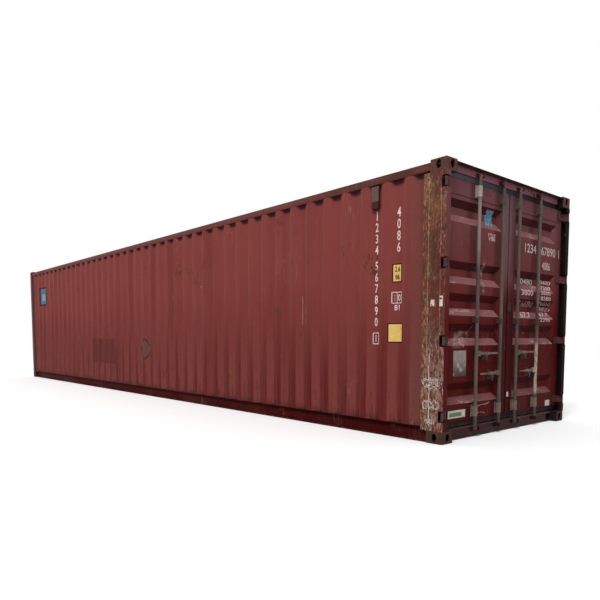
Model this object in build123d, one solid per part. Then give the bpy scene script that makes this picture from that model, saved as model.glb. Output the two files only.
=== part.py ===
from build123d import *
import math
import os

# Steel dry freight container, 40 ft long, 8 ft wide and 8 ft 6 in high
# Origin: centre of the footprint at ground level
# +X points to the door end, +Y to the right of someone who looks at the doors, +Z up

# Overall size
container_length = 12192.0
container_width = 2438.0
container_height = 2591.0
half_length = container_length / 2
half_width = container_width / 2

# General
cut_overrun = 20.0
touch_gap = 0.3

# Corner fittings
fitting_length = 178.0
fitting_width = 162.0
fitting_height = 118.0
fitting_outer_wall = 16.0
fitting_inner_wall = 10.0
fitting_face_wall = 28.0
fitting_back_wall = 12.0
fitting_corner_radius = 14.0
lifting_slot_length = 124.5
lifting_slot_width = 63.5
lifting_slot_from_end = 103.5
lifting_slot_from_side = 89.5
side_slot_height = 79.5
side_slot_width = 51.0
end_slot_width = 63.5
side_slot_from_end = 89.0
end_slot_from_side = 89.0
lashing_slot_from_face = 56.0

# Rear corner posts
post_plate = 6.0
rear_post_side = 246.0
rear_post_face = 69.0
rear_post_lip = 30.0
inner_channel_depth = 100.0
inner_channel_web = 40.0
inner_channel_plate = 12.0
channel_to_shell_gap = 8.0

# Front corner posts
front_post_side = 154.0
front_post_face = 82.0
front_post_return = 44.0
front_post_lip = 30.0

# Doors
hinge_pin_inset_x = 12.0
hinge_pin_inset_y = 12.0
door_face_depth = 63.0
door_thickness = 50.0
door_edge_from_post_side = 39.0
door_seam_half_gap = 9.0
door_bottom = 178.0
door_top_drop = 136.0
door_tube_width = 100.0
door_rail_height = 150.0
door_wall = 4.0
door_panel_plate = 2.0
door_panel_setback = 2.0
swage_height_shares = (0.8718, 0.6228, 0.4914, 0.3663, 0.1195)
swage_tall_share = 0.09135
swage_slope = 70.0
swage_depth = 36.0
swage_end_margin = 30.0
leaf_inner_stop_gap = 10.0

# Door gasket
gasket_thickness = 25.0
gasket_from_face = 11.0
gasket_top_reach = 50.0
gasket_bottom_reach = 46.0
gasket_hinge_reach = 7.0
gasket_seam_reach = 4.0
gasket_below_fitting = 5.0

# Hinges
hinge_height_shares = (0.9649, 0.6495, 0.3404, 0.0351)
hinge_pin_radius = 7.0
hinge_pin_clearance = 0.3
hinge_knuckle_radius = 11.0
hinge_blade_height = 78.0
hinge_blade_plate = 10.0
hinge_blade_reach = 137.0
hinge_blade_bend = 54.0
hinge_lug_height = 14.0
hinge_lug_gap = 0.3
hinge_lug_length = 50.0
hinge_lug_radius = 12.0
hinge_pocket_depth = 52.0
hinge_pocket_clearance = 8.0

# Lock rods, counted from the left
rod_spacing_inner = 330.0
rod_spacing_outer = 1210.0
rod_radius = 17.0
rod_from_face = 28.0
rod_top_drop = 46.0
rod_bottom = 75.0
cam_height = 26.0
cam_tip_radius = 33.0
cam_width = 20.0
cam_rest_angle = 18.0
rod_collar_radius = 22.0
rod_collar_height = 12.0
rod_collar_gap = 1.0

# Cam keepers
keeper_height = 36.0
keeper_clearance = 3.0
keeper_jaw_plate = 10.0
keeper_jaw_start = -31.0
keeper_jaw_end = 53.0
keeper_base_plate = 6.0
keeper_base_short = 34.0
keeper_base_long = 52.0

# Rod brackets on the doors
bearing_clearance = 0.5
bearing_strap = 5.5
bearing_base_plate = 6.0
bearing_base_width = 78.0
bearing_base_height = 118.0
bearing_barrel_height = 104.0
top_bearing_drop = 72.0
bottom_bearing_rise = 84.0
guide_centre = 1155.0
guide_height = 46.0

# Lock handles
upper_handle_height = 828.0
lower_handle_height = 625.0
handle_length = 370.0
handle_height = 30.0
handle_plate = 12.0
handle_taper_start = 205.0
handle_taper_end = 245.0
handle_grip_height = 19.0
handle_grip_crank = 10.0
handle_pivot_offset = 46.0
handle_pin_radius = 6.0
handle_pin_clearance = 0.3
handle_hub_plate = 6.0
handle_hub_height = 52.0
handle_hub_reach = 62.0
handle_tail = 16.0

# Handle catches and their hasps
catch_offset = 165.0
catch_width = 60.0
catch_plate = 4.0
catch_back_height = 96.0
catch_shelf_gap = 1.0
catch_front_height = 14.0
catch_front_gap = 3.0
hasp_plate = 4.0
hasp_width = 24.0
hasp_length = 58.0
hasp_pin_radius = 4.0
hasp_pin_drop = 30.0
hasp_pin_clearance = 0.3
hasp_face_gap = 0.3

# Seal bracket at the seam
seal_bracket_centre = 1302.0
seal_bracket_height = 92.0
seal_bracket_width = 34.0
seal_bracket_plate = 5.0
seal_bracket_reach = 30.0
seal_bracket_from_edge = 3.0
seal_hole_radius = 7.0

# Header and sill
frame_plate = 5.0
header_top_drop = 16.0
header_face_height = 65.0
header_visor_reach = 69.0
header_inner_height = 123.0
sill_underside = 14.0
sill_face_top = 106.0
sill_back_top = 130.0
sill_pocket_width = 118.0
sill_pocket_bottom = 24.0
sill_pocket_top = 92.0
sill_pocket_depth = 45.0

# Rails
top_rail_width = 60.0
top_rail_height = 68.0
top_rail_plate = 3.0
wall_inset = 6.0
roof_seat_drop = 28.0
bottom_rail_underside = 13.0
bottom_rail_top = 150.0
bottom_rail_plate = 4.5
bottom_rail_upper_flange = 40.0
bottom_rail_lower_flange = 30.0
front_rail_width = 60.0
front_bottom_rail_depth = 75.0

# Floor
floor_top = 166.0
floor_thickness = 28.0
floor_board_count = 4
floor_board_gap = 2.0
floor_side_gap = 5.0
cross_member_height = 122.0
cross_member_flange = 45.0
cross_member_plate = 4.0
cross_member_pitch = 300.0

# Gooseneck tunnel at the front end
tunnel_length = 3315.0
tunnel_width = 1029.0
tunnel_height = 120.0
tunnel_plate = 6.0
tunnel_end_clearance = 80.0

# Side walls
wall_plate = 1.6
wall_pitch = 280.0
wall_crest = 74.0
wall_trough = 70.0
wall_depth = 36.0
first_trough_from_door_end = 284.0
last_trough_from_front_post = 150.0
wall_lap = 10.0

# Front wall
front_wall_plate = 2.0
front_wall_pitch = 250.0
front_wall_crest = 110.0
front_wall_trough = 104.0
front_wall_depth = 45.6
front_wall_inset = 6.0

# Roof
roof_plate = 2.0
roof_ridge_pitch = 209.0
roof_ridge_width = 91.0
roof_ridge_height = 20.0
roof_ridge_slope = 30.0
roof_ridge_end_margin = 90.0
roof_plain_end = 100.0

# Ventilators
ventilator_width = 88.0
ventilator_height = 215.0
ventilator_drop = 219.0
troughs_past_ventilator_count = 2

# Places worked out from the sizes
door_top = container_height - door_top_drop
rod_top = container_height - rod_top_drop
swage_height = swage_tall_share * (door_top - door_bottom)
top_bearing_centre = door_top - top_bearing_drop
bottom_bearing_centre = door_bottom + bottom_bearing_rise
header_top = container_height - header_top_drop
header_face_bottom = header_top - header_face_height
header_inner_bottom = header_top - header_inner_height
roof_seat_height = container_height - roof_seat_drop
ventilator_centre_height = container_height - ventilator_drop
hinge_pin_x = half_length - hinge_pin_inset_x
hinge_pin_y = half_width - hinge_pin_inset_y
door_face_x = hinge_pin_x - door_face_depth
door_inner_x = door_face_x - door_thickness
panel_face_x = door_face_x - door_panel_setback
door_edge_y = half_width - door_edge_from_post_side
rod_x = door_face_x + rod_from_face
rod_places = (-rod_spacing_outer / 2, -rod_spacing_inner / 2, rod_spacing_inner / 2, rod_spacing_outer / 2)
wall_face_y = half_width - wall_inset
wall_slope = (wall_pitch - wall_crest - wall_trough) / 2
fitting_inner_x = half_length - fitting_length
fitting_inner_y = half_width - fitting_width
post_bottom = fitting_height
post_top = container_height - fitting_height
channel_front_x = door_inner_x - leaf_inner_stop_gap
channel_back_x = channel_front_x - inner_channel_depth
channel_face_y = half_width - post_plate - inner_channel_web
rear_post_end_x = half_length - rear_post_side
front_post_end_x = front_post_side - half_length
top_rail_bottom = roof_seat_height - top_rail_height
trough_face_y = wall_face_y - wall_depth


def outward_sheet(points, plate):
    """Closed outline of a bent plate: the given line and the same line moved to its left by the plate."""
    shifted = []
    for index, point in enumerate(points):
        before = points[max(index - 1, 0)]
        after = points[min(index + 1, len(points) - 1)]
        first = Vector(*point) - Vector(*before)
        second = Vector(*after) - Vector(*point)
        first = second.normalized() if first.length == 0 else first.normalized()
        second = first if second.length == 0 else second.normalized()
        first_left = Vector(-first.Y, first.X)
        second_left = Vector(-second.Y, second.X)
        mitre = (first_left + second_left).normalized()
        reach = plate / mitre.dot(first_left)
        shifted.append((point[0] + mitre.X * reach, point[1] + mitre.Y * reach))
    return list(points) + shifted[::-1]


def flat_face(outline):
    return make_face(Polyline(*outline, close=True))


def along_x(outline, start, end):
    """Solid whose YZ section is the outline, between two X places."""
    plane = Plane(origin=(start, 0, 0), x_dir=(0, 1, 0), z_dir=(1, 0, 0))
    return extrude(plane * flat_face(outline), amount=end - start)


def along_y(outline, start, end):
    """Solid whose XZ section is the outline, between two Y places."""
    plane = Plane(origin=(0, end, 0), x_dir=(1, 0, 0), z_dir=(0, -1, 0))
    return extrude(plane * flat_face(outline), amount=end - start)


def along_z(outline, start, end):
    """Solid whose XY section is the outline, between two heights."""
    return extrude(Plane.XY.offset(start) * flat_face(outline), amount=end - start)


def block(x_range, y_range, z_range):
    size = [high - low for low, high in (x_range, y_range, z_range)]
    middle = [(high + low) / 2 for low, high in (x_range, y_range, z_range)]
    return Pos(*middle) * Box(*size)


def post_cylinder(x_place, y_place, radius, bottom, top):
    return Pos(x_place, y_place, (bottom + top) / 2) * Cylinder(radius, top - bottom)


def other_side(shape):
    return mirror(shape, about=Plane.XZ)


def other_end(shape):
    return mirror(shape, about=Plane.YZ)


def both_sides(shape):
    return [shape, other_side(shape)]


def solids_of(shapes):
    found = []
    for shape in shapes:
        found.extend(shape.solids())
    return found


def save(node, shapes):
    """Write one named sub-part, as one solid or as several that don't touch."""
    solids = solids_of(shapes if isinstance(shapes, list) else [shapes])
    whole = solids[0] if len(solids) == 1 else Compound(children=solids)
    export_step(whole, f"parts/{node}.step")


# Corner fittings

def is_outer(edge):
    """True for the three edges that meet at the outermost corner of a casting."""
    middle = edge.center()
    gaps = (half_length - middle.X, half_width - middle.Y, container_height - middle.Z)
    return len([gap for gap in gaps if gap < touch_gap]) > 1


def corner_fitting():
    """Hollow casting at the right door-end top corner, with a slot in its top, side and end."""
    casting = block(
        (fitting_inner_x, half_length), (fitting_inner_y, half_width), (post_top, container_height)
    )
    casting = fillet([edge for edge in casting.edges() if is_outer(edge)], fitting_corner_radius)
    casting -= block(
        (fitting_inner_x + fitting_inner_wall, half_length - fitting_outer_wall),
        (fitting_inner_y + fitting_inner_wall, half_width - fitting_outer_wall),
        (post_top + fitting_back_wall, container_height - fitting_face_wall),
    )
    slot_height = container_height - lashing_slot_from_face
    slot_x = half_length - lifting_slot_from_end
    slot_y = half_width - lifting_slot_from_side
    lifting_slot = Pos(slot_x, slot_y, container_height) * extrude(
        SlotOverall(lifting_slot_length, lifting_slot_width),
        amount=fitting_face_wall + cut_overrun, both=True,
    )
    reach = fitting_outer_wall + touch_gap
    side_plane = Plane(
        origin=(half_length - side_slot_from_end, half_width, slot_height), x_dir=(0, 0, 1), z_dir=(0, 1, 0)
    )
    side_slot = side_plane * extrude(SlotOverall(side_slot_height, side_slot_width), amount=reach, both=True)
    end_plane = Plane(
        origin=(half_length, half_width - end_slot_from_side, slot_height), x_dir=(0, 0, 1), z_dir=(1, 0, 0)
    )
    end_slot = end_plane * extrude(SlotOverall(side_slot_height, end_slot_width), amount=reach, both=True)
    return casting - lifting_slot - side_slot - end_slot


def four_corners(shape):
    pair = both_sides(shape)
    return pair + [other_end(piece) for piece in pair]


def to_the_bottom(shape):
    return Pos(0, 0, container_height) * mirror(shape, about=Plane.XY)


# Posts

def door_height_at(share):
    return door_bottom + share * (door_top - door_bottom)


def hinge_pocket_ranges():
    half_height = hinge_blade_height / 2 + hinge_lug_height + hinge_pocket_clearance
    centres = [door_height_at(share) for share in hinge_height_shares]
    return [(height - half_height, height + half_height) for height in centres]


def rear_post_shell():
    """Pressed outer shell of the left rear post, open at each hinge."""
    side = -half_width
    line = [
        (rear_post_end_x, -trough_face_y),
        (rear_post_end_x, side),
        (half_length, side),
        (half_length, side + rear_post_face),
        (half_length - rear_post_lip, side + rear_post_face),
    ]
    shell = along_z(outward_sheet(line, post_plate), post_bottom, post_top)
    shell -= block(
        (rear_post_end_x - cut_overrun, rear_post_end_x + post_plate),
        (side + post_plate, -trough_face_y + cut_overrun),
        (post_bottom - cut_overrun, bottom_rail_top),
    )
    for low, high in hinge_pocket_ranges():
        shell -= block(
            (half_length - hinge_pocket_depth, half_length + cut_overrun),
            (side - cut_overrun, side + rear_post_face + cut_overrun),
            (low, high),
        )
    return shell


def rear_post_channel():
    """Rolled channel inside the left rear post, which is the door jamb."""
    face = -channel_face_y
    back = face - inner_channel_web + channel_to_shell_gap
    line = [(channel_back_x, back), (channel_back_x, face), (channel_front_x, face), (channel_front_x, back)]
    return along_z(outward_sheet(line[::-1], inner_channel_plate), bottom_rail_top, post_top)


def front_post():
    side = -half_width
    line = [
        (-half_length + front_post_lip, side + front_post_face),
        (-half_length, side + front_post_face),
        (-half_length, side),
        (front_post_end_x, side),
        (front_post_end_x, side + front_post_return),
    ]
    return along_z(outward_sheet(line, post_plate), post_bottom, post_top)


# Header and sill

def door_header():
    back = channel_front_x
    outer = [
        (door_face_x + header_visor_reach, header_top),
        (back - frame_plate, header_top),
        (back - frame_plate, header_inner_bottom),
    ]
    inner = [
        (back - frame_plate / 2, header_face_bottom),
        (door_face_x, header_face_bottom),
        (door_face_x, header_top - frame_plate / 2),
    ]
    outline_outer = outward_sheet(outer, frame_plate)
    outline_inner = outward_sheet(inner, frame_plate)
    header = along_y(outline_outer, -fitting_inner_y, fitting_inner_y)
    return header + along_y(outline_inner, -fitting_inner_y, fitting_inner_y)


def sill_pocket(side):
    inner = fitting_inner_y - sill_pocket_width
    y_range = sorted((side * inner, side * (fitting_inner_y + cut_overrun)))
    x_range = (door_face_x - sill_pocket_depth, door_face_x + cut_overrun)
    return block(x_range, y_range, (sill_pocket_bottom, sill_pocket_top))


def door_sill():
    back = channel_front_x
    line = [
        (back - cross_member_flange, sill_underside),
        (door_face_x, sill_underside),
        (door_face_x, sill_face_top),
        (back, sill_back_top),
        (back, floor_top),
    ]
    sill = along_y(outward_sheet(line, frame_plate), -fitting_inner_y, fitting_inner_y)
    for side in (-1, 1):
        sill -= sill_pocket(side)
        inner = fitting_inner_y - sill_pocket_width
        y_range = sorted((side * (inner - frame_plate), side * fitting_inner_y))
        back_plate_x = door_face_x - sill_pocket_depth
        z_range = (sill_underside, sill_pocket_top + frame_plate)
        sill += block((back_plate_x - frame_plate, back_plate_x), y_range, z_range)
        jamb = sorted((side * inner, side * (inner - frame_plate)))
        sill += block((back_plate_x, door_face_x), jamb, z_range)
    return sill


# Rails

def tube_outline(low, high, plate):
    outer = [(low[0], low[1]), (high[0], low[1]), (high[0], high[1]), (low[0], high[1])]
    inner = [
        (low[0] + plate, low[1] + plate),
        (high[0] - plate, low[1] + plate),
        (high[0] - plate, high[1] - plate),
        (low[0] + plate, high[1] - plate),
    ]
    return outer, inner


def top_side_rail():
    outer, inner = tube_outline(
        (-wall_face_y, top_rail_bottom), (-wall_face_y + top_rail_width, roof_seat_height), top_rail_plate
    )
    rail = along_x(outer, -fitting_inner_x, fitting_inner_x)
    return rail - along_x(inner, -half_length, half_length)


def bottom_side_rail():
    """Channel whose web stands back under the wall, with its two flanges turned outwards."""
    edge = -wall_face_y
    web = edge + bottom_rail_upper_flange
    line = [
        (web - bottom_rail_lower_flange, bottom_rail_underside),
        (web, bottom_rail_underside),
        (web, bottom_rail_top),
        (edge, bottom_rail_top),
    ]
    return along_x(outward_sheet(line, bottom_rail_plate), -fitting_inner_x, fitting_inner_x)


def front_top_rail():
    outer, inner = tube_outline(
        (-half_length, top_rail_bottom), (-half_length + front_rail_width, roof_seat_height), top_rail_plate
    )
    rail = along_y(outer, -fitting_inner_y, fitting_inner_y)
    return rail - along_y(inner, -half_width, half_width)


def front_bottom_rail():
    """Channel below the front wall, cut away over the gooseneck tunnel."""
    front = -half_length
    line = [
        (front + front_bottom_rail_depth, bottom_rail_underside),
        (front, bottom_rail_underside),
        (front, bottom_rail_top),
        (front + front_bottom_rail_depth, bottom_rail_top),
    ]
    rail = along_y(outward_sheet(line[::-1], bottom_rail_plate), -fitting_inner_y, fitting_inner_y)
    mouth = tunnel_width / 2
    return rail - block(
        (front - cut_overrun, front + front_bottom_rail_depth + cut_overrun),
        (-mouth, mouth),
        (-cut_overrun, tunnel_height),
    )


# Walls

def corrugated_line(centres, crest_start, crest_end, level, crest_flat, slope, depth):
    """Line of a pressed sheet: crests at the given level, and a trough of the depth at each centre."""
    line = [(crest_start, level)]
    for centre in centres:
        flat = crest_flat / 2
        line.append((centre - flat - slope, level))
        line.append((centre - flat, level + depth))
        line.append((centre + flat, level + depth))
        line.append((centre + flat + slope, level))
    line.append((crest_end, level))
    return line


def trough_place(index):
    """X place of a trough of the side walls, counted from the door end."""
    return half_length - first_trough_from_door_end - wall_pitch * index


def last_trough_index():
    return int((trough_place(0) - front_post_end_x - last_trough_from_front_post) / wall_pitch)


def side_wall():
    """Pressed sheet of the left side, crests outward, that meets the rear post at the depth of a trough."""
    centres = [trough_place(index) for index in range(last_trough_index(), 0, -1)]
    sunk = trough_place(0) - wall_trough / 2
    crest_end = sunk - wall_slope
    line = corrugated_line(
        centres, front_post_end_x, crest_end, -wall_face_y, wall_trough, wall_slope, wall_depth
    )
    line.append((sunk, -trough_face_y))
    line.append((rear_post_end_x + wall_lap, -trough_face_y))
    wall = along_z(outward_sheet(line, wall_plate), bottom_rail_top, top_rail_bottom)
    return wall - block(
        (-half_length, -fitting_inner_x), (-half_width, -fitting_inner_y), (post_top, container_height)
    )


def front_wall():
    """Pressed sheet of the front end, crests outward."""
    edge = half_width - front_post_face
    slope = (front_wall_pitch - front_wall_crest - front_wall_trough) / 2
    count = int((2 * edge - front_wall_crest) / front_wall_pitch)
    middle = (count - 1) / 2
    centres = [front_wall_pitch * (index - middle) for index in range(count)]
    level = -(half_length - front_wall_inset)
    line = corrugated_line(centres, -edge, edge, 0, front_wall_trough, slope, front_wall_depth)
    placed = [(level + depth, place) for place, depth in line]
    wall = along_z(outward_sheet(placed[::-1], front_wall_plate), bottom_rail_top, top_rail_bottom)
    corner = block(
        (-half_length, -fitting_inner_x), (-half_width, -fitting_inner_y), (post_top, container_height)
    )
    return wall - corner - other_side(corner)


# Roof

def roof_ridges(base):
    """Pressed ridges across the roof, standing on the given level."""
    half_span = half_width - wall_inset - top_rail_width - roof_ridge_end_margin
    plain = half_length - channel_front_x + frame_plate + roof_plain_end
    count = int(2 * (half_length - plain) / roof_ridge_pitch)
    first = -roof_ridge_pitch * (count - 1) / 2
    taper = math.degrees(math.atan2(roof_ridge_slope, roof_ridge_height))
    foot = Rectangle(roof_ridge_width + 2 * roof_ridge_slope, 2 * (half_span + roof_ridge_slope))
    ridge = extrude(foot, amount=roof_ridge_height, taper=taper)
    return [Pos(first + roof_ridge_pitch * index, 0, base) * ridge for index in range(count)]


def roof_panel():
    """Pressed sheet that lies on the top rails, between the four top fittings."""
    edge = wall_face_y
    low_end = front_wall_inset - half_length
    high_end = channel_front_x - frame_plate
    sheet_top = roof_seat_height + roof_plate
    sheet = block((low_end, high_end), (-edge, edge), (roof_seat_height, sheet_top))
    for corner in four_corners(block(
        (fitting_inner_x, half_length), (fitting_inner_y, half_width), (roof_seat_height, sheet_top)
    )):
        sheet -= corner
    sheet = sheet.fuse(*roof_ridges(sheet_top))
    hollows = [Pos(0, 0, -roof_plate) * ridge for ridge in roof_ridges(sheet_top)]
    return sheet.cut(*hollows)


# Ventilators

def ventilator(centre):
    """Shallow labyrinth box that fills a trough of the left wall."""
    outer = -wall_face_y
    inner = outer + wall_depth - touch_gap
    half_seat = wall_trough / 2 - touch_gap
    half_box = ventilator_width / 2
    shoulder = inner - (half_box - half_seat) * wall_depth / wall_slope
    outline = [
        (centre - half_box, outer), (centre + half_box, outer), (centre + half_box, shoulder),
        (centre + half_seat, inner), (centre - half_seat, inner), (centre - half_box, shoulder),
    ]
    low = ventilator_centre_height - ventilator_height / 2
    return along_z(outline, low, low + ventilator_height)


# Floor

def cross_member(place):
    base = floor_top - floor_thickness - cross_member_height
    top = floor_top - floor_thickness
    line = [
        (place + cross_member_flange, base),
        (place, base),
        (place, top),
        (place + cross_member_flange, top),
    ]
    return outward_sheet(line[::-1], cross_member_plate)


def cross_members():
    web = wall_face_y - bottom_rail_upper_flange - bottom_rail_plate
    front_limit = -half_length + tunnel_length + tunnel_end_clearance
    back_limit = channel_front_x - 2 * cross_member_flange
    count = int((back_limit - front_limit) / cross_member_pitch)
    pitch = (back_limit - front_limit - cross_member_flange) / count
    members = []
    for index in range(count + 1):
        members.append(along_y(cross_member(front_limit + pitch * index), -web, web))
    inner = tunnel_width / 2 + tunnel_plate
    first = -half_length + front_bottom_rail_depth
    span = front_limit - first
    count = int(span / cross_member_pitch)
    for index in range(1, count):
        outline = cross_member(first + span * index / count)
        outrigger = along_y(outline, -web, -inner)
        members.extend(both_sides(outrigger))
    return members


def gooseneck_tunnel():
    """Roof plate, two side plates and inner end plate of the tunnel, welded edge to face."""
    front = -half_length + front_bottom_rail_depth
    back = -half_length + tunnel_length
    half = tunnel_width / 2
    outer = half + tunnel_plate
    roof = block((front, back), (-outer, outer), (tunnel_height, tunnel_height + tunnel_plate))
    side = block((front, back), (-outer, -half), (bottom_rail_underside, tunnel_height))
    underside = floor_top - floor_thickness
    end = block((back, back + tunnel_plate), (-outer, outer), (bottom_rail_underside, underside))
    return roof, both_sides(side), end


def floor_boards():
    front = -half_length + front_bottom_rail_depth + touch_gap
    back = channel_front_x - frame_plate - floor_side_gap
    edge = wall_face_y - wall_depth - wall_plate - floor_side_gap
    width = 2 * edge / floor_board_count
    boards = []
    for index in range(floor_board_count):
        low = -edge + width * index
        y_range = (low + floor_board_gap / 2, low + width - floor_board_gap / 2)
        boards.append(block((front, back), y_range, (floor_top - floor_thickness, floor_top)))
    return boards


# Doors, built for the left leaf

def leaf_block(x_range, margin=0.0):
    return block(
        x_range,
        (-door_edge_y + margin, -door_seam_half_gap - margin),
        (door_bottom + margin, door_top - margin),
    )


def door_frame():
    """Welded frame of the left leaf: tubes at its sides, channels at its top and bottom."""
    frame = leaf_block((door_inner_x, door_face_x))
    opening_y = (-door_edge_y + door_tube_width, -door_seam_half_gap - door_tube_width)
    opening_z = (door_bottom + door_rail_height, door_top - door_rail_height)
    frame -= block((door_inner_x - cut_overrun, door_face_x + cut_overrun), opening_y, opening_z)
    for low in (-door_edge_y, -door_seam_half_gap - door_tube_width):
        frame -= block(
            (door_inner_x + door_wall, door_face_x - door_wall),
            (low + door_wall, low + door_tube_width - door_wall),
            (door_bottom - cut_overrun, door_top + cut_overrun),
        )
    return frame


def swage(height):
    """One pressed band of the left door panel, as the hollow that it leaves."""
    y_range = (
        -door_edge_y + door_tube_width + swage_end_margin,
        -door_seam_half_gap - door_tube_width - swage_end_margin,
    )
    taper = math.degrees(math.atan2(swage_slope, swage_depth))
    width = y_range[1] - y_range[0]
    plane = Plane(
        origin=(panel_face_x, (y_range[0] + y_range[1]) / 2, height),
        x_dir=(0, 1, 0),
        z_dir=(-1, 0, 0),
    )
    return plane * extrude(Rectangle(width, swage_height), amount=swage_depth, taper=taper)


def door_panel():
    """Pressed sheet of the left leaf, with its bands sunk inwards."""
    y_range = (-door_edge_y + door_tube_width, -door_seam_half_gap - door_tube_width)
    z_range = (door_bottom + door_rail_height, door_top - door_rail_height)
    sheet = block((panel_face_x - door_panel_plate, panel_face_x), y_range, z_range)
    heights = [door_height_at(share) for share in swage_height_shares]
    for height in heights:
        sheet += Pos(-door_panel_plate, 0, 0) * swage(height)
    for height in heights:
        sheet -= swage(height)
    return sheet


def door_gasket():
    x_range = (door_face_x - gasket_from_face - gasket_thickness, door_face_x - gasket_from_face)
    ring = block(
        x_range,
        (-door_edge_y - gasket_hinge_reach, -door_seam_half_gap + gasket_seam_reach),
        (door_bottom - gasket_bottom_reach, post_top - gasket_below_fitting),
    )
    ring += block(
        x_range,
        (-fitting_inner_y + gasket_below_fitting, -door_seam_half_gap + gasket_seam_reach),
        (post_top - gasket_below_fitting, door_top + gasket_top_reach),
    )
    return ring - leaf_block((x_range[0] - cut_overrun, x_range[1] + cut_overrun))


def hinge_blade(height):
    """Forged strap from the pin to the face of the left leaf."""
    low = height - hinge_blade_height / 2
    high = height + hinge_blade_height / 2
    seat_x = door_face_x
    line = [
        (seat_x, -hinge_pin_y + hinge_blade_reach),
        (seat_x, -hinge_pin_y + hinge_blade_bend),
        (hinge_pin_x - hinge_blade_plate / 2, -hinge_pin_y),
    ]
    strap = along_z(outward_sheet(line, hinge_blade_plate), low, high)
    blade = strap + post_cylinder(hinge_pin_x, -hinge_pin_y, hinge_knuckle_radius, low, high)
    bore = hinge_pin_radius + hinge_pin_clearance
    return blade - post_cylinder(hinge_pin_x, -hinge_pin_y, bore, low - cut_overrun, high + cut_overrun)


def hinge_lugs(height):
    """Two lugs of the left rear post, above and below a hinge blade."""
    lugs = []
    bore = hinge_pin_radius + hinge_pin_clearance
    reach = hinge_blade_height / 2 + hinge_lug_gap
    for low in (height - reach - hinge_lug_height, height + reach):
        high = low + hinge_lug_height
        lug = post_cylinder(hinge_pin_x, -hinge_pin_y, hinge_lug_radius, low, high)
        lug += block(
            (hinge_pin_x - hinge_lug_length, hinge_pin_x),
            (-half_width + post_plate, -hinge_pin_y + hinge_lug_radius),
            (low, high),
        )
        hole = post_cylinder(hinge_pin_x, -hinge_pin_y, bore, low - cut_overrun, high + cut_overrun)
        lugs.append(lug - hole)
    return lugs


def hinge_pin(height):
    reach = hinge_blade_height / 2 + hinge_lug_gap + hinge_lug_height
    return post_cylinder(hinge_pin_x, -hinge_pin_y, hinge_pin_radius, height - reach, height + reach)


# Lock rods

def ring_sector(place, inner, outer, start, end, side, low, high):
    """Part of a ring round a rod, between two angles that run from the handle's side to the front."""
    centre = Vector(rod_x, place)

    def at(radius, angle):
        turn = math.radians(angle)
        return (centre.X + radius * math.sin(turn), centre.Y + side * radius * math.cos(turn))

    middle = (start + end) / 2
    outline = Wire([
        ThreePointArc(at(outer, start), at(outer, middle), at(outer, end)).edge(),
        Line(at(outer, end), at(inner, end)).edge(),
        ThreePointArc(at(inner, end), at(inner, middle), at(inner, start)).edge(),
        Line(at(inner, start), at(outer, start)).edge(),
    ])
    return extrude(Plane.XY.offset(low) * make_face(outline), amount=high - low, dir=(0, 0, 1))


def cam(place, side, low):
    """Cam finger at a rod's end, lying behind the keeper's jaw."""
    reach = cam_tip_radius - cam_width / 2
    finger = Pos(reach / 2, 0, 0) * Box(reach, cam_width, cam_height)
    finger += Pos(reach, 0, 0) * Cylinder(cam_width / 2, cam_height)
    turned = Rot(0, 0, side * (90 - cam_rest_angle)) * finger
    return Pos(rod_x, place, low + cam_height / 2) * turned


def handle_hub(place, side, height):
    """Two cheeks on the rod that hold the handle's pin."""
    cheeks = []
    half_gap = handle_plate / 2 + touch_gap
    y_range = sorted((place, place + side * handle_hub_reach))
    z_range = (height - handle_hub_height / 2, height + handle_hub_height / 2)
    for low, high in ((-half_gap - handle_hub_plate, -half_gap), (half_gap, half_gap + handle_hub_plate)):
        cheeks.append(block((rod_x + low, rod_x + high), y_range, z_range))
    hub = cheeks[0] + cheeks[1]
    pin = Plane(
        origin=(rod_x - half_gap - handle_hub_plate, place + side * handle_pivot_offset, height),
        x_dir=(0, 1, 0), z_dir=(1, 0, 0),
    ) * extrude(Circle(handle_pin_radius), amount=2 * (half_gap + handle_hub_plate))
    return hub + pin


def lock_rod(index):
    place = rod_places[index]
    side = handle_side(index)
    rod = post_cylinder(rod_x, place, rod_radius, rod_bottom, rod_top)
    rod += cam(place, side, rod_bottom)
    rod += cam(place, side, rod_top - cam_height)
    rod += handle_hub(place, side, handle_place(index))
    reach = bearing_base_height / 2 + rod_collar_gap
    for low in (top_bearing_centre - reach - rod_collar_height, bottom_bearing_centre + reach):
        rod += post_cylinder(rod_x, place, rod_collar_radius, low, low + rod_collar_height)
    return rod


def handle_side(index):
    return 1 if index % 2 == 0 else -1


def handle_place(index):
    return upper_handle_height if index % 2 == 0 else lower_handle_height


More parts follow.
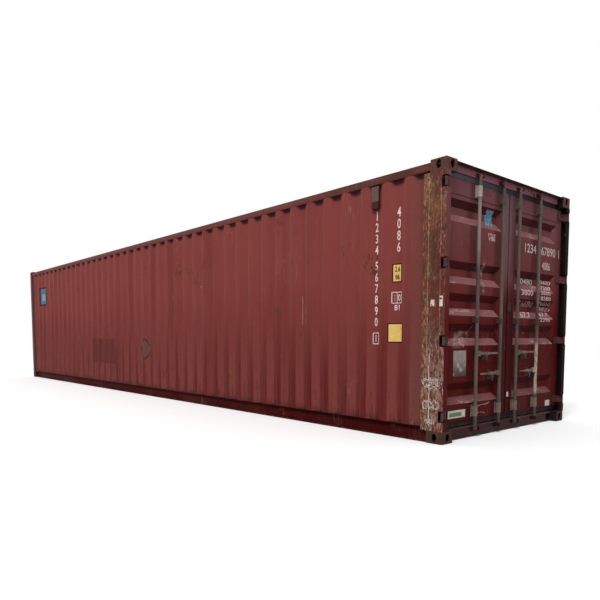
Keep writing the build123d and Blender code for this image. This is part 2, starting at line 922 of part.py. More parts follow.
def lock_handle(index):
    """Bar that turns on the hub's pin, lies in the catch and ends in a slimmer grip, set outward."""
    side = handle_side(index)
    place = side * rod_places[index]
    height = handle_place(index)
    tail = place + handle_pivot_offset - handle_tail
    bend = place + handle_taper_start
    grip = place + handle_taper_end
    tip = place + handle_length
    half_height = handle_height / 2
    half_grip = handle_grip_height / 2
    half_plate = handle_plate / 2
    low_line = [(tail, height - half_height), (bend, height - half_height)]
    low_line += [(grip, height - half_grip), (tip, height - half_grip)]
    high_line = [(tip, height + half_grip), (grip, height + half_grip)]
    high_line += [(bend, height + half_height), (tail, height + half_height)]
    bar = along_x(low_line + high_line, rod_x - half_plate, rod_x + half_plate + handle_grip_crank)
    outer_x = rod_x + half_plate
    inner_x = rod_x - half_plate
    outer_line = [(outer_x, tail), (outer_x, bend)]
    outer_line += [(outer_x + handle_grip_crank, grip), (outer_x + handle_grip_crank, tip)]
    inner_line = [(inner_x + handle_grip_crank, tip), (inner_x + handle_grip_crank, grip)]
    inner_line += [(inner_x, bend), (inner_x, tail)]
    bar &= along_z(outer_line + inner_line, height - half_height, height + half_height)
    hole = Plane(
        origin=(rod_x, place + handle_pivot_offset, height), x_dir=(0, 1, 0), z_dir=(1, 0, 0)
    ) * extrude(Circle(handle_pin_radius + handle_pin_clearance), amount=handle_plate, both=True)
    bar -= hole
    return bar if side > 0 else other_side(bar)


# Keepers

def keeper(place, side, low):
    jaw = ring_sector(
        place, cam_tip_radius + keeper_clearance, cam_tip_radius + keeper_clearance + keeper_jaw_plate,
        keeper_jaw_start, keeper_jaw_end, side, low, low + keeper_height,
    )
    y_range = sorted((place - side * keeper_base_short, place + side * keeper_base_long))
    base = block((door_face_x, door_face_x + keeper_base_plate), y_range, (low, low + keeper_height))
    z_range = (low - cut_overrun, low + keeper_height + cut_overrun)
    behind = block((door_face_x - cut_overrun, door_face_x), y_range, z_range)
    return jaw + base - behind


# Brackets on the doors

def rod_strap(place, centre, height):
    """Bent strap over a rod, with its feet on the base plate."""
    inner = rod_radius + bearing_clearance
    outer = inner + bearing_strap
    low = centre - height / 2
    high = centre + height / 2
    strap = post_cylinder(rod_x, place, outer, low, high)
    strap += block((door_face_x + bearing_base_plate, rod_x), (place - outer, place + outer), (low, high))
    strap -= post_cylinder(rod_x, place, inner, low - cut_overrun, high + cut_overrun)
    return strap - block(
        (door_face_x, rod_x), (place - inner, place + inner), (low - cut_overrun, high + cut_overrun)
    )


def bearing_bracket(place, centre):
    bracket = block(
        (door_face_x, door_face_x + bearing_base_plate),
        (place - bearing_base_width / 2, place + bearing_base_width / 2),
        (centre - bearing_base_height / 2, centre + bearing_base_height / 2),
    )
    return bracket + rod_strap(place, centre, bearing_barrel_height)


def guide_bracket(place):
    bracket = block(
        (panel_face_x, door_face_x + bearing_base_plate),
        (place - bearing_base_width / 2, place + bearing_base_width / 2),
        (guide_centre - guide_height / 2, guide_centre + guide_height / 2),
    )
    return bracket + rod_strap(place, guide_centre, guide_height)


def rod_brackets(places):
    brackets = []
    for place in places:
        brackets.append(bearing_bracket(place, top_bearing_centre))
        brackets.append(bearing_bracket(place, bottom_bearing_centre))
        brackets.append(guide_bracket(place))
    return brackets


def seal_bracket():
    """Angle on the right leaf, beside the seam, with a hole for a seal bolt."""
    inner = door_seam_half_gap + seal_bracket_from_edge
    low = seal_bracket_centre - seal_bracket_height / 2
    high = seal_bracket_centre + seal_bracket_height / 2
    foot = block(
        (door_face_x, door_face_x + seal_bracket_plate), (inner, inner + seal_bracket_width), (low, high)
    )
    leg = block(
        (door_face_x, door_face_x + seal_bracket_reach), (inner, inner + seal_bracket_plate), (low, high)
    )
    hole_x = door_face_x + (seal_bracket_plate + seal_bracket_reach) / 2
    hole = Plane(
        origin=(hole_x, inner, seal_bracket_centre), x_dir=(1, 0, 0), z_dir=(0, 1, 0)
    ) * extrude(Circle(seal_hole_radius), amount=seal_bracket_plate + touch_gap, both=True)
    return foot + leg - hole


def handle_catch(index):
    """Cradle on the door that a lock handle lies in."""
    place = rod_places[index]
    side = handle_side(index)
    centre = place + side * catch_offset
    height = handle_place(index)
    shelf_top = height - handle_height / 2 - catch_shelf_gap
    front_x = rod_x + handle_plate / 2 + catch_front_gap
    y_range = (centre - catch_width / 2, centre + catch_width / 2)
    z_range = (shelf_top - catch_back_height / 2, shelf_top + catch_back_height / 2)
    back = block((panel_face_x, door_face_x + catch_plate), y_range, z_range)
    shelf = block((panel_face_x, front_x + catch_plate), y_range, (shelf_top - catch_plate, shelf_top))
    pin_height = height - hasp_pin_drop
    front = block((front_x, front_x + catch_plate), y_range, (pin_height - catch_front_height, shelf_top))
    pin = Plane(
        origin=(front_x + catch_plate - touch_gap, centre, pin_height), x_dir=(0, 1, 0), z_dir=(1, 0, 0)
    ) * extrude(Circle(hasp_pin_radius), amount=touch_gap + hasp_face_gap + hasp_plate)
    return back + shelf + front + pin


def catch_hasp(index):
    """Small flap that hangs on the catch and turns up over the handle."""
    place = rod_places[index]
    centre = place + handle_side(index) * catch_offset
    pin_height = handle_place(index) - hasp_pin_drop
    start_x = rod_x + handle_plate / 2 + catch_front_gap + catch_plate + hasp_face_gap
    plane = Plane(origin=(start_x, centre, pin_height), x_dir=(0, 1, 0), z_dir=(1, 0, 0))
    flap = Pos(0, -(hasp_length - hasp_width) / 2, 0) * SlotOverall(hasp_length, hasp_width, rotation=90)
    flap -= Circle(hasp_pin_radius + hasp_pin_clearance)
    return plane * extrude(flap, amount=hasp_plate)


def build():
    os.makedirs("parts", exist_ok=True)
    top_fittings = four_corners(corner_fitting())
    save("corner_fittings_top", top_fittings)
    save("corner_fittings_bottom", [to_the_bottom(piece) for piece in top_fittings])
    shell = rear_post_shell()
    channel = rear_post_channel()
    save("rear_post_left", shell)
    save("rear_post_right", other_side(shell))
    save("door_jamb_left", channel)
    save("door_jamb_right", other_side(channel))
    save("front_posts", both_sides(front_post()))
    save("door_header", door_header())
    save("door_sill", door_sill())
    save("top_side_rails", both_sides(top_side_rail()))
    save("bottom_side_rails", both_sides(bottom_side_rail()))
    save("front_top_rail", front_top_rail())
    save("front_bottom_rail", front_bottom_rail())
    wall = side_wall()
    save("side_wall_left", wall)
    save("side_wall_right", other_side(wall))
    save("front_wall", front_wall())
    save("roof_panel", roof_panel())
    save("floor_boards", floor_boards())
    save("cross_members", cross_members())
    tunnel_roof, tunnel_sides, tunnel_end = gooseneck_tunnel()
    save("gooseneck_tunnel_roof", tunnel_roof)
    save("gooseneck_tunnel_sides", tunnel_sides)
    save("gooseneck_tunnel_end", tunnel_end)
    door_end_vent = ventilator(trough_place(troughs_past_ventilator_count))
    front_end_vent = other_side(ventilator(trough_place(last_trough_index() - troughs_past_ventilator_count)))
    save("ventilators", [door_end_vent, front_end_vent])
    lugs = []
    pins = []
    blades = []
    for share in hinge_height_shares:
        height = door_height_at(share)
        lugs.extend(hinge_lugs(height))
        pins.append(hinge_pin(height))
        blades.append(hinge_blade(height))
    save("hinge_lugs", lugs + [other_side(lug) for lug in lugs])
    save("hinge_pins", pins + [other_side(pin) for pin in pins])
    upper_keepers = []
    lower_keepers = []
    for index, place in enumerate(rod_places):
        side = handle_side(index)
        upper_keepers.append(keeper(place, side, rod_top - cam_height / 2 - keeper_height / 2))
        lower_keepers.append(keeper(place, side, rod_bottom + cam_height / 2 - keeper_height / 2))
        save(f"lock_rod_{index + 1}", lock_rod(index))
        save(f"lock_handle_{index + 1}", lock_handle(index))
        save(f"catch_hasp_{index + 1}", catch_hasp(index))
    save("keepers_upper", upper_keepers)
    save("keepers_lower", lower_keepers)
    frame = door_frame()
    panel = door_panel()
    gasket = door_gasket()
    save("door_left_frame", frame)
    save("door_right_frame", other_side(frame))
    save("door_left_panel", panel)
    save("door_right_panel", other_side(panel))
    save("door_left_gasket", gasket)
    save("door_right_gasket", other_side(gasket))
    save("door_left_hinges", blades)
    save("door_right_hinges", [other_side(blade) for blade in blades])
    save("door_left_brackets", rod_brackets(rod_places[:2]))
    save("door_right_brackets", rod_brackets(rod_places[2:]) + [seal_bracket()])
    save("door_left_catches", [handle_catch(0), handle_catch(1)])
    save("door_right_catches", [handle_catch(2), handle_catch(3)])


build()
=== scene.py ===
import math
import random

import bmesh
import bpy
from mathutils import Matrix, Vector
from mathutils.bvhtree import BVHTree


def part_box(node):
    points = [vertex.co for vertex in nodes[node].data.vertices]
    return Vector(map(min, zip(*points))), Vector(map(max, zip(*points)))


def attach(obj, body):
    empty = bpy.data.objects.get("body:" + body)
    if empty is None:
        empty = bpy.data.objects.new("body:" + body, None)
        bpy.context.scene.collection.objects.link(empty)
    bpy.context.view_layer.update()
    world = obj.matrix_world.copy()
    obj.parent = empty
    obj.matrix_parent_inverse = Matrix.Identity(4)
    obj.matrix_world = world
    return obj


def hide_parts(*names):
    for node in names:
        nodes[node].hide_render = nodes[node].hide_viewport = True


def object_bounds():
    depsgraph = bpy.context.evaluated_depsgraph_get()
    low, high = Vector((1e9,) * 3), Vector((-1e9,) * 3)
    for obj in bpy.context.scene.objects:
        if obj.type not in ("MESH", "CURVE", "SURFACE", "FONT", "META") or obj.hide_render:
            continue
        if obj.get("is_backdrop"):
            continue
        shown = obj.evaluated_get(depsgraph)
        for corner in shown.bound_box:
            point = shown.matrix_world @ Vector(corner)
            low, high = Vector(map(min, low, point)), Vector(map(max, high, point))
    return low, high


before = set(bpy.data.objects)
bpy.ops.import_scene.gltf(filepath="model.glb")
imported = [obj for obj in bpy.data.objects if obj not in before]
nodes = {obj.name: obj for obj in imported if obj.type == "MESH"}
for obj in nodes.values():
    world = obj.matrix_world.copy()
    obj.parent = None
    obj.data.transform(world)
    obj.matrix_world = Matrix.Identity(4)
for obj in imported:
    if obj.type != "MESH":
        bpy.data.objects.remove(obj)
cadLow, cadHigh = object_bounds()
scene = bpy.context.scene
print("frame loaded:", len(nodes), "nodes")


def tone(shade):  # a name in paint, or red, green and blue from 0 to 255 as a screen shows them
    if not isinstance(shade, (str, tuple)):
        return shade
    shares = [level / 255 for level in (paint[shade] if isinstance(shade, str) else shade)]
    return (*(share / 12.92 if share <= 0.04045 else ((share + 0.055) / 1.055) ** 2.4 for share in shares), 1.0)


def operator(operation, swapped=False):  # a Math node as a method of Term
    def apply(self, other):
        return self.maths(operation, *((other, self) if swapped else (self, other)))
    return apply


class Term:  # a socket that can stand in a sum
    def __init__(self, graph, socket):
        self.graph = graph
        self.socket = socket

    def maths(self, operation, *terms):
        return self.graph.add("ShaderNodeMath", dict(enumerate(terms)), operation=operation)

    __add__ = __radd__ = operator("ADD")
    __mul__ = __rmul__ = operator("MULTIPLY")
    __sub__, __rsub__ = operator("SUBTRACT"), operator("SUBTRACT", True)
    __truediv__ = operator("DIVIDE")
    least, most = operator("MINIMUM"), operator("MAXIMUM")

    def __abs__(self):
        return self.maths("ABSOLUTE", self)

    def rise(self, start, end):  # 0 before start, 1 after end, smooth between
        return self.graph.add("ShaderNodeMapRange", {"Value": self, "From Min": start, "From Max": end},
                              interpolation_type="SMOOTHSTEP")

    def fall(self, start, end):
        return 1 - self.rise(start, end)

    def near(self, centre, reach, edge):  # 1 within reach of centre, 0 past the soft edge
        return abs(self - centre).fall(reach, reach + edge)

    def out(self, name):
        return Term(self.graph, self.socket.node.outputs[name])


class Graph:  # builds a node tree
    def __init__(self, tree):
        self.tree = tree

    def add(self, kind, values=None, out=0, **settings):
        node = self.tree.nodes.new(kind)
        for name, value in settings.items():
            if name == "stops":
                ramp = node.color_ramp
                while len(ramp.elements) < len(value):
                    ramp.elements.new(1.0)
                for element, (place, color) in zip(ramp.elements, value):
                    element.position, element.color = place, color
            else:
                setattr(node, name, value)
        for name, value in (values or {}).items():
            if isinstance(value, Term):
                self.tree.links.new(value.socket, node.inputs[name])
            else:
                node.inputs[name].default_value = value
        return Term(self, node.outputs[out]) if len(node.outputs) else node

    def seen(self):  # 1 for what the camera sees, also in a mirror or through glass
        rays = self.add("ShaderNodeLightPath")
        return rays.most(rays.out("Is Glossy Ray")).most(rays.out("Is Transmission Ray"))


class Finish(Graph):  # one material, its colour so far and the patterns it is mixed from
    def __init__(self, name):
        self.material = bpy.data.materials.new(name)
        self.material.use_nodes = True
        super().__init__(self.material.node_tree)
        self.tree.nodes.clear()
        self.color = None
        self.place = self.add("ShaderNodeTexCoord", out="Object")
        parts = self.add("ShaderNodeSeparateXYZ", {"Vector": self.place})
        self.x, self.y, self.z = parts, parts.out("Y"), parts.out("Z")
        faces = self.add("ShaderNodeNewGeometry", out="True Normal")
        self.facing = self.add("ShaderNodeSeparateXYZ", {"Vector": faces}, "Z")  # 1 looks up, -1 down

    def moved(self, stretch=(1, 1, 1), shift=(0, 0, 0)):
        return self.add("ShaderNodeMapping", {"Vector": self.place, "Scale": stretch, "Location": shift})

    def noise(self, scale, detail=3.0, rough=0.5, stretch=(1, 1, 1), shift=(0, 0, 0)):
        return self.add("ShaderNodeTexNoise", {
            "Vector": self.moved(stretch, shift), "Scale": scale, "Detail": detail, "Roughness": rough})

    def cells(self, scale, stretch=(1, 1, 1), shift=(0, 0, 0)):
        return self.add("ShaderNodeTexVoronoi", {"Vector": self.moved(stretch, shift), "Scale": scale})

    def fromTrough(self, pitch, trough):  # signed distance from the nearest trough's middle
        return self.x.maths("WRAP", self.x - trough, pitch / 2, -pitch / 2)

    def ramp(self, factor, stops):
        return self.add("ShaderNodeValToRGB", {"Fac": factor}, stops=stops)

    def mix(self, factor, low, high):
        return self.add("ShaderNodeMix", {0: factor, 6: tone(low), 7: tone(high)}, 2, data_type="RGBA")

    def over(self, factor, shade):  # lays a shade over the colour so far
        self.color = self.mix(factor, self.color, shade)

    def finish(self, roughness, metallic=0.0, height=None, strength=0.3, distance=0.002, shine=0.5, alpha=1.0):
        values = {"Base Color": self.color, "Roughness": roughness, "Metallic": metallic,
                  "Specular IOR Level": shine, "Alpha": alpha}
        if height is not None:
            values["Normal"] = self.add("ShaderNodeBump", {
                "Height": height, "Strength": strength, "Distance": distance})
        shader = self.add("ShaderNodeBsdfPrincipled", values)
        self.add("ShaderNodeOutputMaterial", {"Surface": shader})
        return self.material


paint = {  # shades that recur, as a screen shows them
    "wallHigh": (124, 55, 51), "wallLow": (100, 34, 29), "wallDust": (122, 60, 55), "shade": (84, 8, 3),
    "chalk": (140, 86, 82), "soot": (30, 16, 16), "frame": (92, 42, 42), "rail": (106, 55, 51),
    # header: paler than the real paint, a painted light that makes up for the shade under the rain edge
    "railFoot": (60, 6, 4), "header": (153, 96, 108), "sill": (48, 24, 24), "black": (20, 10, 11),
    "under": (46, 24, 24), "keeper": (96, 58, 62), "hingeLow": (66, 30, 32), "hingeHigh": (80, 42, 47),
    "rust": (92, 46, 30), "darkRust": (54, 30, 24), "scrape": (176, 150, 136), "dust": (130, 86, 88),
    "doorDark": (58, 0, 2),
}
doorTones = (  # height in metres, colour: paler where the sky lies on the leaf
    (0.15, (74, 20, 19)), (0.4, (84, 22, 20)), (0.75, (82, 13, 13)), (1.12, (88, 18, 18)),
    (1.32, (100, 36, 35)), (1.6, (107, 51, 50)), (1.95, (112, 60, 60)), (2.42, (114, 70, 76)),
)


sideWall = {"pitch": 0.28, "trough": 0.07, "slope": 0.068, "depth": 0.036, "plate": 0.0016, "bend": 0.01,
            "doorTrough": 5.812, "troughs": 42, "dent": 0.0035, "columnsPerPitch": 22, "rows": 26}
rods = {"left": (-0.605, -0.165), "right": (0.165, 0.605)}  # where the lock rods stand, across
wallStains = {"patch": (-1.66, 0.56, 0.73, 0.225), "diamond": (0.1, 0.79)}  # place and half width, height and its half
rampTop = 2.6


def paintedSteel(name, low, high, grime, wear, marksOf=None, shine=0.14):
    look = Finish(name)
    look.color = look.mix(look.z.rise(0.1, 2.0), low, high)
    look.over(look.noise(0.9, 4, 0.6).rise(0.45, 0.8) * 0.16, "chalk")
    look.over(look.noise(2.3, 5, 0.65, shift=(0, 3, 1)).rise(0.5, 0.8) * 0.3 * grime, "soot")
    if marksOf:
        marksOf(look)
    runs = look.noise(11, 5, 0.7, (1, 1, 0.06))  # what the rain has washed down
    look.over(runs.rise(0.53, 0.8) * 0.5 * grime, "soot")
    pale = look.noise(17, 4, 0.6, (1, 1, 0.04), (3, 1, 0))
    look.over(pale.rise(0.6, 0.85) * 0.3 * grime, "chalk")
    grain = look.noise(60, 3, 0.7)
    look.over(grain.rise(0.3, 0.8) * 0.14, "soot")
    look.over(look.facing.rise(0.75, 0.95) * 0.22 * grime, "dust")
    chips = look.noise(26, 6, 0.75, (1, 1, 0.6), (0, 0, 5))
    region = look.noise(2.2, 2, 0.5, shift=(7, 0, 0))
    chipped = (chips * region).rise(0.4 - 0.05 * wear, 0.44 - 0.05 * wear)
    look.over(chipped, "rust")
    scratches = look.noise(3, 2, 0.5, (5, 5, 0.35), (1, 8, 2)).near(0.5, 0.0015, 0.003)
    scratches = scratches * look.noise(1.7, 2, 0.5, shift=(4, 4, 4)).rise(0.55, 0.65)
    look.over(scratches * 0.4 * wear, "scrape")
    specks = look.cells(5.5, (1, 1, 0.5), (2, 2, 2))
    chosen = look.add("ShaderNodeSeparateColor", {"Color": specks.out("Color")})
    look.over(specks.fall(0.01, 0.022) * chosen.rise(0.62, 0.63) * 0.9 * wear, "scrape")
    rough = 0.6 + grain * 0.14 + chipped * 0.2
    return look.finish(rough, height=grain * 0.4 + look.noise(9, 2) * 0.6 - chipped * 0.4,
                       strength=0.22, distance=0.003, shine=shine)


def sideMarks(look):  # how the tone lies on the corrugations: painted shade on the slopes that face away low down and a painted highlight on them higher up, darker crests and a paler band low down, painted shadow under the top rail and beside the far corner post, and the dirt, rust, light wear and old patches
    turn = look.fromTrough(sideWall["pitch"], sideWall["doorTrough"])
    away = turn.rise(0.032, 0.046) * turn.fall(0.094, 0.108)
    crest = turn.rise(0.096, 0.106).most(turn.fall(-0.106, -0.096))
    low = look.z.fall(0.3, 1.55)
    # a paler band over the slope that faces the doors and half the trough, low down
    paleBand = turn.rise(-0.108, -0.098) * turn.fall(-0.004, 0.01)
    look.over(paleBand * low * 0.75, "wallDust")
    high = look.z.rise(0.7, 1.7)
    # painted shade on the slopes that face away, low down, and a painted highlight on them higher up
    look.over(away * (1 - high) * 0.2, "shade")
    look.over(away * high * 0.26, (160, 82, 76))
    streak = look.noise(13, 5, 0.7, (1, 1, 0.07), (5, 0, 2))
    look.over(crest * low * (0.45 + streak.rise(0.42, 0.6) * 0.4), "shade")
    drag = look.noise(34, 5, 0.75, (1, 1, 0.1), (9, 0, 4)).rise(0.52, 0.62) * look.z.fall(0.3, 0.95)
    look.over(drag * 0.55, (70, 24, 22))
    look.over(look.x.rise(5.56, 5.84) * 0.38, (84, 62, 56))
    look.over(look.x.rise(5.84, 5.91) * look.z.fall(0.7, 1.7) * 0.5, (60, 28, 20))
    # painted shadow: a dark line on the wall beside the far corner post
    look.over(look.x.fall(-5.84, -5.76) * 0.85, (48, 8, 4))
    rusty = look.noise(20, 5, 0.7, (1, 1, 0.05), (3, 7, 0)).rise(0.62, 0.7) * look.z.fall(0.6, 1.3)
    look.over(rusty * 0.55, (122, 46, 26))
    uneven = look.noise(2.4, 3, 0.7, (1, 0.2, 0.1), (2, 0, 9))
    look.over(uneven.rise(0.5, 0.72) * 0.3, "shade")
    look.over(uneven.fall(0.3, 0.46) * 0.22, "wallDust")
    left = look.y.fall(-1.0, -0.9)
    x, halfWide, z, halfTall = wallStains["patch"]
    patch = look.x.near(x, halfWide, 0.02) * look.z.near(z, halfTall, 0.02) * left
    look.over(patch * 0.42, (60, 16, 16))
    x, z = wallStains["diamond"]
    tilt = abs(look.x - x) * 0.9 + abs(look.z - z)
    inner = look.noise(24, 5, 0.7).rise(0.35, 0.6)
    look.over(tilt.fall(0.17, 0.18) * left * (0.35 + inner * 0.5), (92, 64, 54))
    look.over(tilt.near(0.178, 0.012, 0.006) * left * 0.9, (30, 22, 24))
    # painted shadow of the top rail over the tops of the troughs
    sunk = abs(look.y).fall(1.181, 1.205)
    under = look.z.rise(2.43, 2.47) * sunk
    look.over(under * 0.78, "soot")
    foot = look.z.fall(0.15, 0.24) * look.noise(6, 4, 0.6).rise(0.3, 0.6)
    look.over(foot * 0.45, "soot")


def doorMarks(look):
    look.color = look.ramp(look.z / rampTop, [(height / rampTop, tone(shade)) for height, shade in doorTones])
    cloud = look.noise(3, 5, 0.65, shift=(1, 2, 0))
    look.over(cloud.rise(0.5, 0.8) * 0.25, "doorDark")
    upward, downward = look.facing.rise(0.15, 0.35), look.facing.fall(-0.35, -0.15)
    rub = look.noise(9, 6, 0.7, (1, 0.5, 1.4), (5, 5, 5))
    # dust on the faces that look up, with painted sky light on them
    dustAndSkyLight = upward * (0.7 + rub * 0.4).least(1.0) * (1 - look.z.fall(0.4, 1.2) * 0.35)
    look.over(dustAndSkyLight, "dust")
    look.over(upward * rub.rise(0.55, 0.66) * 0.6, (170, 150, 146))
    # painted shade on the faces that look down
    look.over(downward * 0.86, "doorDark")
    grooves = look.z.near(2.309, 0.002, 0.003).most(look.z.near(0.338, 0.002, 0.003))
    look.over(grooves * 0.75, "soot")
    # painted shade where the leaf meets the frame around it
    edge = abs(look.y).rise(1.168, 1.178).most(look.z.fall(0.18, 0.2)).most(look.z.rise(2.44, 2.456))
    look.over(edge * 0.55, "soot")
    # painted shade in the gap between the two leaves
    look.over(abs(look.y).fall(0.012, 0.024) * 0.8, (30, 12, 18))
    tube = abs(look.y).fall(0.105, 0.112)
    look.over(tube * look.z.rise(1.35, 1.75) * 0.4, (118, 98, 102))
    look.over(tube * look.z.fall(1.25, 1.65) * 0.45, (44, 8, 10))
    look.over(look.y.rise(0.02, 0.3) * 0.14, (56, 36, 42))
    scuffs = look.noise(5, 5, 0.7, (1, 1, 0.5), (0, 0, 3)).rise(0.6, 0.72)
    hazes = look.noise(7, 6, 0.7, (1, 0.6, 0.5), (4, 4, 0)).rise(0.56, 0.7) * look.z.near(1.35, 0.3, 0.25)
    look.over(hazes * 0.1, (160, 132, 130))
    # painted shadow beside each lock rod, on the faces that don't look up
    for rod in rods["left"] + rods["right"]:
        beside = look.y.near(rod - 0.06, 0.02, 0.07)
        look.over(beside * look.facing.fall(0.15, 0.35) * 0.42, (30, 4, 6))
    rubbed = look.noise(30, 6, 0.75, (1, 0.5, 1), (7, 0, 1)).rise(0.42, 0.62)
    first = abs(look.y + 0.81 - (look.z - 0.97) * 0.8).fall(0.06, 0.15) * look.z.near(0.97, 0.05, 0.05)
    second = abs(look.y + 0.455).fall(0.006, 0.04) * look.z.near(1.58, 0.1, 0.1)
    look.over(first.most(second) * rubbed * 0.5, (190, 172, 170))
    look.over(scuffs * 0.15, "dust")


def rustedPost(name):  # the outer side has lost most of its paint, the other faces little
    look = Finish(name)
    skin = abs(look.y).rise(1.21, 1.214)
    wander = look.noise(9, 5, 0.7, (1, 1, 0.5), (0, 2, 0))
    look.color = look.mix(wander.rise(0.4, 0.6), (84, 54, 42), (104, 48, 42))
    red = look.x.rise(5.99, 6.05) * 0.75
    look.over(red, (98, 42, 38))
    deep = look.noise(22, 7, 0.75, (1, 1, 0.4), (0, 5, 0))
    look.over(deep.rise(0.48, 0.62) * 0.55, (62, 38, 30))
    smooth = look.noise(6, 4, 0.6, (1, 1, 0.45), (5, 1, 0))
    look.over(smooth.rise(0.44, 0.6) * look.z.rise(1.95, 2.2) * 0.6, (124, 84, 56))
    band = look.z.rise(1.9, 2.3) * 0.35 - look.z.near(1.6, 0.25, 0.2) * 0.2
    band = band + look.x.fall(5.92, 5.98) * 0.75 + look.x.rise(6.07, 6.088) * 0.45
    band = (band + wander.rise(0.45, 0.6) * 0.35 + 0.12) * (smooth.rise(0.4, 0.6) * 0.9 + 0.25)
    for scale, shift, share, shade in ((34.0, (2, 0, 0), 0.75, (136, 98, 66)),
                                       (64.0, (9, 2, 1), 0.85, (164, 126, 94))):
        runs = look.noise(scale, 8, 0.8, (1, 1, 0.3), shift)
        look.over((runs.rise(0.52, 0.6) * share * band).least(1.0), shade)
    dark = look.noise(60, 7, 0.8, (1, 1, 0.25), (8, 8, 1)).rise(0.54, 0.64)
    look.over(dark * 0.5, (56, 33, 27))
    scrape = look.noise(56, 8, 0.8, (1, 1, 0.34), (6, 6, 3)).rise(0.51, 0.59)
    broad = look.noise(4, 3, 0.6, shift=(3, 3, 0)).rise(0.46, 0.62) * 0.4 + look.z.fall(0.6, 1.4) * 0.65
    look.over((scrape * broad).least(0.8), "scrape")
    blots = look.noise(20, 7, 0.8, (1, 1, 0.6)).rise(0.5, 0.58) * look.z.fall(0.5, 1.2)
    look.over(blots * 0.5, (164, 132, 120))
    line = (look.x + wander * 0.01).near(5.915, 0.0015, 0.003) + (look.x + wander * 0.012).near(6.052, 0.001, 0.003)
    look.over((line * scrape.most(0.35) * 0.9).least(0.8), (188, 160, 136))
    # the painted faces take the leaves' tones, paler higher up with painted sky light
    plain = look.ramp(look.z / rampTop, [(height / rampTop, tone(shade)) for height, shade in doorTones])
    plain = look.mix(deep.rise(0.5, 0.7) * 0.5, plain, "darkRust")
    # painted shade in the post's hollow
    hollow = abs(look.y).fall(1.196, 1.204)
    plain = look.mix(hollow * look.x.fall(6.085, 6.09) * 0.9, plain, "soot")
    look.color = look.mix(skin, plain, look.color)
    grain = look.noise(110, 4, 0.7)
    look.over(grain.rise(0.35, 0.8) * 0.3, "soot")
    return look.finish(0.74 + grain * 0.2, height=grain * 0.5 + deep, strength=0.4, distance=0.003, shine=0.1)


def castIron(name, high):  # the fittings' insides are dark with painted shade: they lie in from the box's far corner, high
    look = Finish(name)
    grain = look.noise(45, 6, 0.7)
    wide = look.noise(9, 4, 0.6)
    look.color = look.mix(grain.rise(0.35, 0.7), (66, 40, 32), (98, 62, 50))
    look.over(wide.rise(0.5, 0.7) * 0.5, (44, 28, 24))
    look.over(look.z.fall(0.25, 0.35) * 0.6, (46, 34, 30))
    runs = look.noise(50, 5, 0.7, (1, 1, 0.12), (2, 3, 1)).rise(0.58, 0.68)
    look.over(runs * 0.5, (128, 98, 80))
    look.over(look.y.rise(0.9, 1.0) * look.z.fall(0.2, 0.3) * 0.7, (20, 15, 13))
    # painted shade inside the hollow fittings
    inside = (high.x - abs(look.x)).least(high.y - abs(look.y)).rise(0.004, 0.013)
    inside = inside * look.z.near(high.z / 2, high.z / 2 - 0.02, 0.014)
    look.over(inside * 0.9, (8, 5, 5))
    pits = look.cells(70).rise(0.0, 0.35)
    return look.finish(0.75 + grain * 0.15, height=pits * 0.5 + grain, strength=0.6, distance=0.004, shine=0.2)


def wornSteel(name, pale, dull, rusty, metal=0.15, partsOf=None):  # with rust in runs and bare worn spots
    look = Finish(name)
    wide = look.noise(7, 5, 0.65, (1, 1, 0.3))
    spangle = look.cells(120)
    look.color = look.mix(wide.rise(0.35, 0.7), pale, dull)
    look.over(spangle.rise(0.1, 0.6) * 0.12, (120, 112, 106))
    if partsOf:
        partsOf(look)
    runs = look.noise(20, 5, 0.7, (1, 1, 0.1), (4, 4, 0))
    look.over(runs.rise(0.5, 0.66) * rusty, (52, 28, 24))
    deep = look.noise(14, 5, 0.7, (1, 1, 0.2), (8, 1, 2))
    look.over(deep.rise(0.56, 0.7) * rusty * 0.6, (96, 56, 40))
    worn = look.noise(5, 5, 0.7, (1, 1, 0.25), (1, 1, 6))
    look.over(worn.rise(0.63, 0.71) * 0.5, (158, 146, 138))
    return look.finish(0.58 + wide * 0.25, metal, height=spangle * 0.3 + wide, strength=0.2, distance=0.001,
                       shine=0.25)


def rodParts(look):  # the upper halves are redder, the first rod's upper part is paler with a painted highlight, the right rod's lower half is bare, the cams are pink with paint
    look.over(look.z.rise(1.2, 1.5) * 0.3, (104, 84, 80))
    # painted highlight on the first rod's upper part
    first = look.y.fall(-0.5, -0.4) * look.z.rise(1.6, 1.9) * look.z.fall(2.42, 2.44)
    look.over(first * 0.35, (168, 160, 152))
    bare = look.noise(30, 5, 0.7, (1, 1, 0.3), (0, 3, 3)).rise(0.34, 0.5)
    last = look.y.rise(0.4, 0.5) * look.z.fall(0.88, 0.96) * look.z.rise(0.33, 0.4) * bare
    look.over(last * 0.65, (200, 184, 168))
    look.over(look.z.fall(0.16, 0.24) * 0.6, (44, 32, 30))
    look.over(look.z.rise(2.497, 2.503) * 0.6, (150, 96, 98))


def bracketParts(look):  # the low bearings and one high one are the brightest, the guides are dark
    low = look.z.fall(0.5, 0.6)
    first = look.z.rise(2.2, 2.25) * look.y.fall(-0.5, -0.4)
    look.over(low * 0.55, (124, 112, 100))
    look.over(first * 0.75, (176, 170, 160))
    blots = look.noise(46, 5, 0.75, shift=(0, 9, 0)).rise(0.54, 0.62)
    look.over(blots * 0.65, (52, 38, 34))
    look.over(look.z.near(1.155, 0.05, 0.02) * 0.75, (50, 36, 32))
    seal = look.z.near(1.302, 0.06, 0.02) * look.y.fall(0.06, 0.066)
    look.over(seal * 0.9, (44, 54, 40))


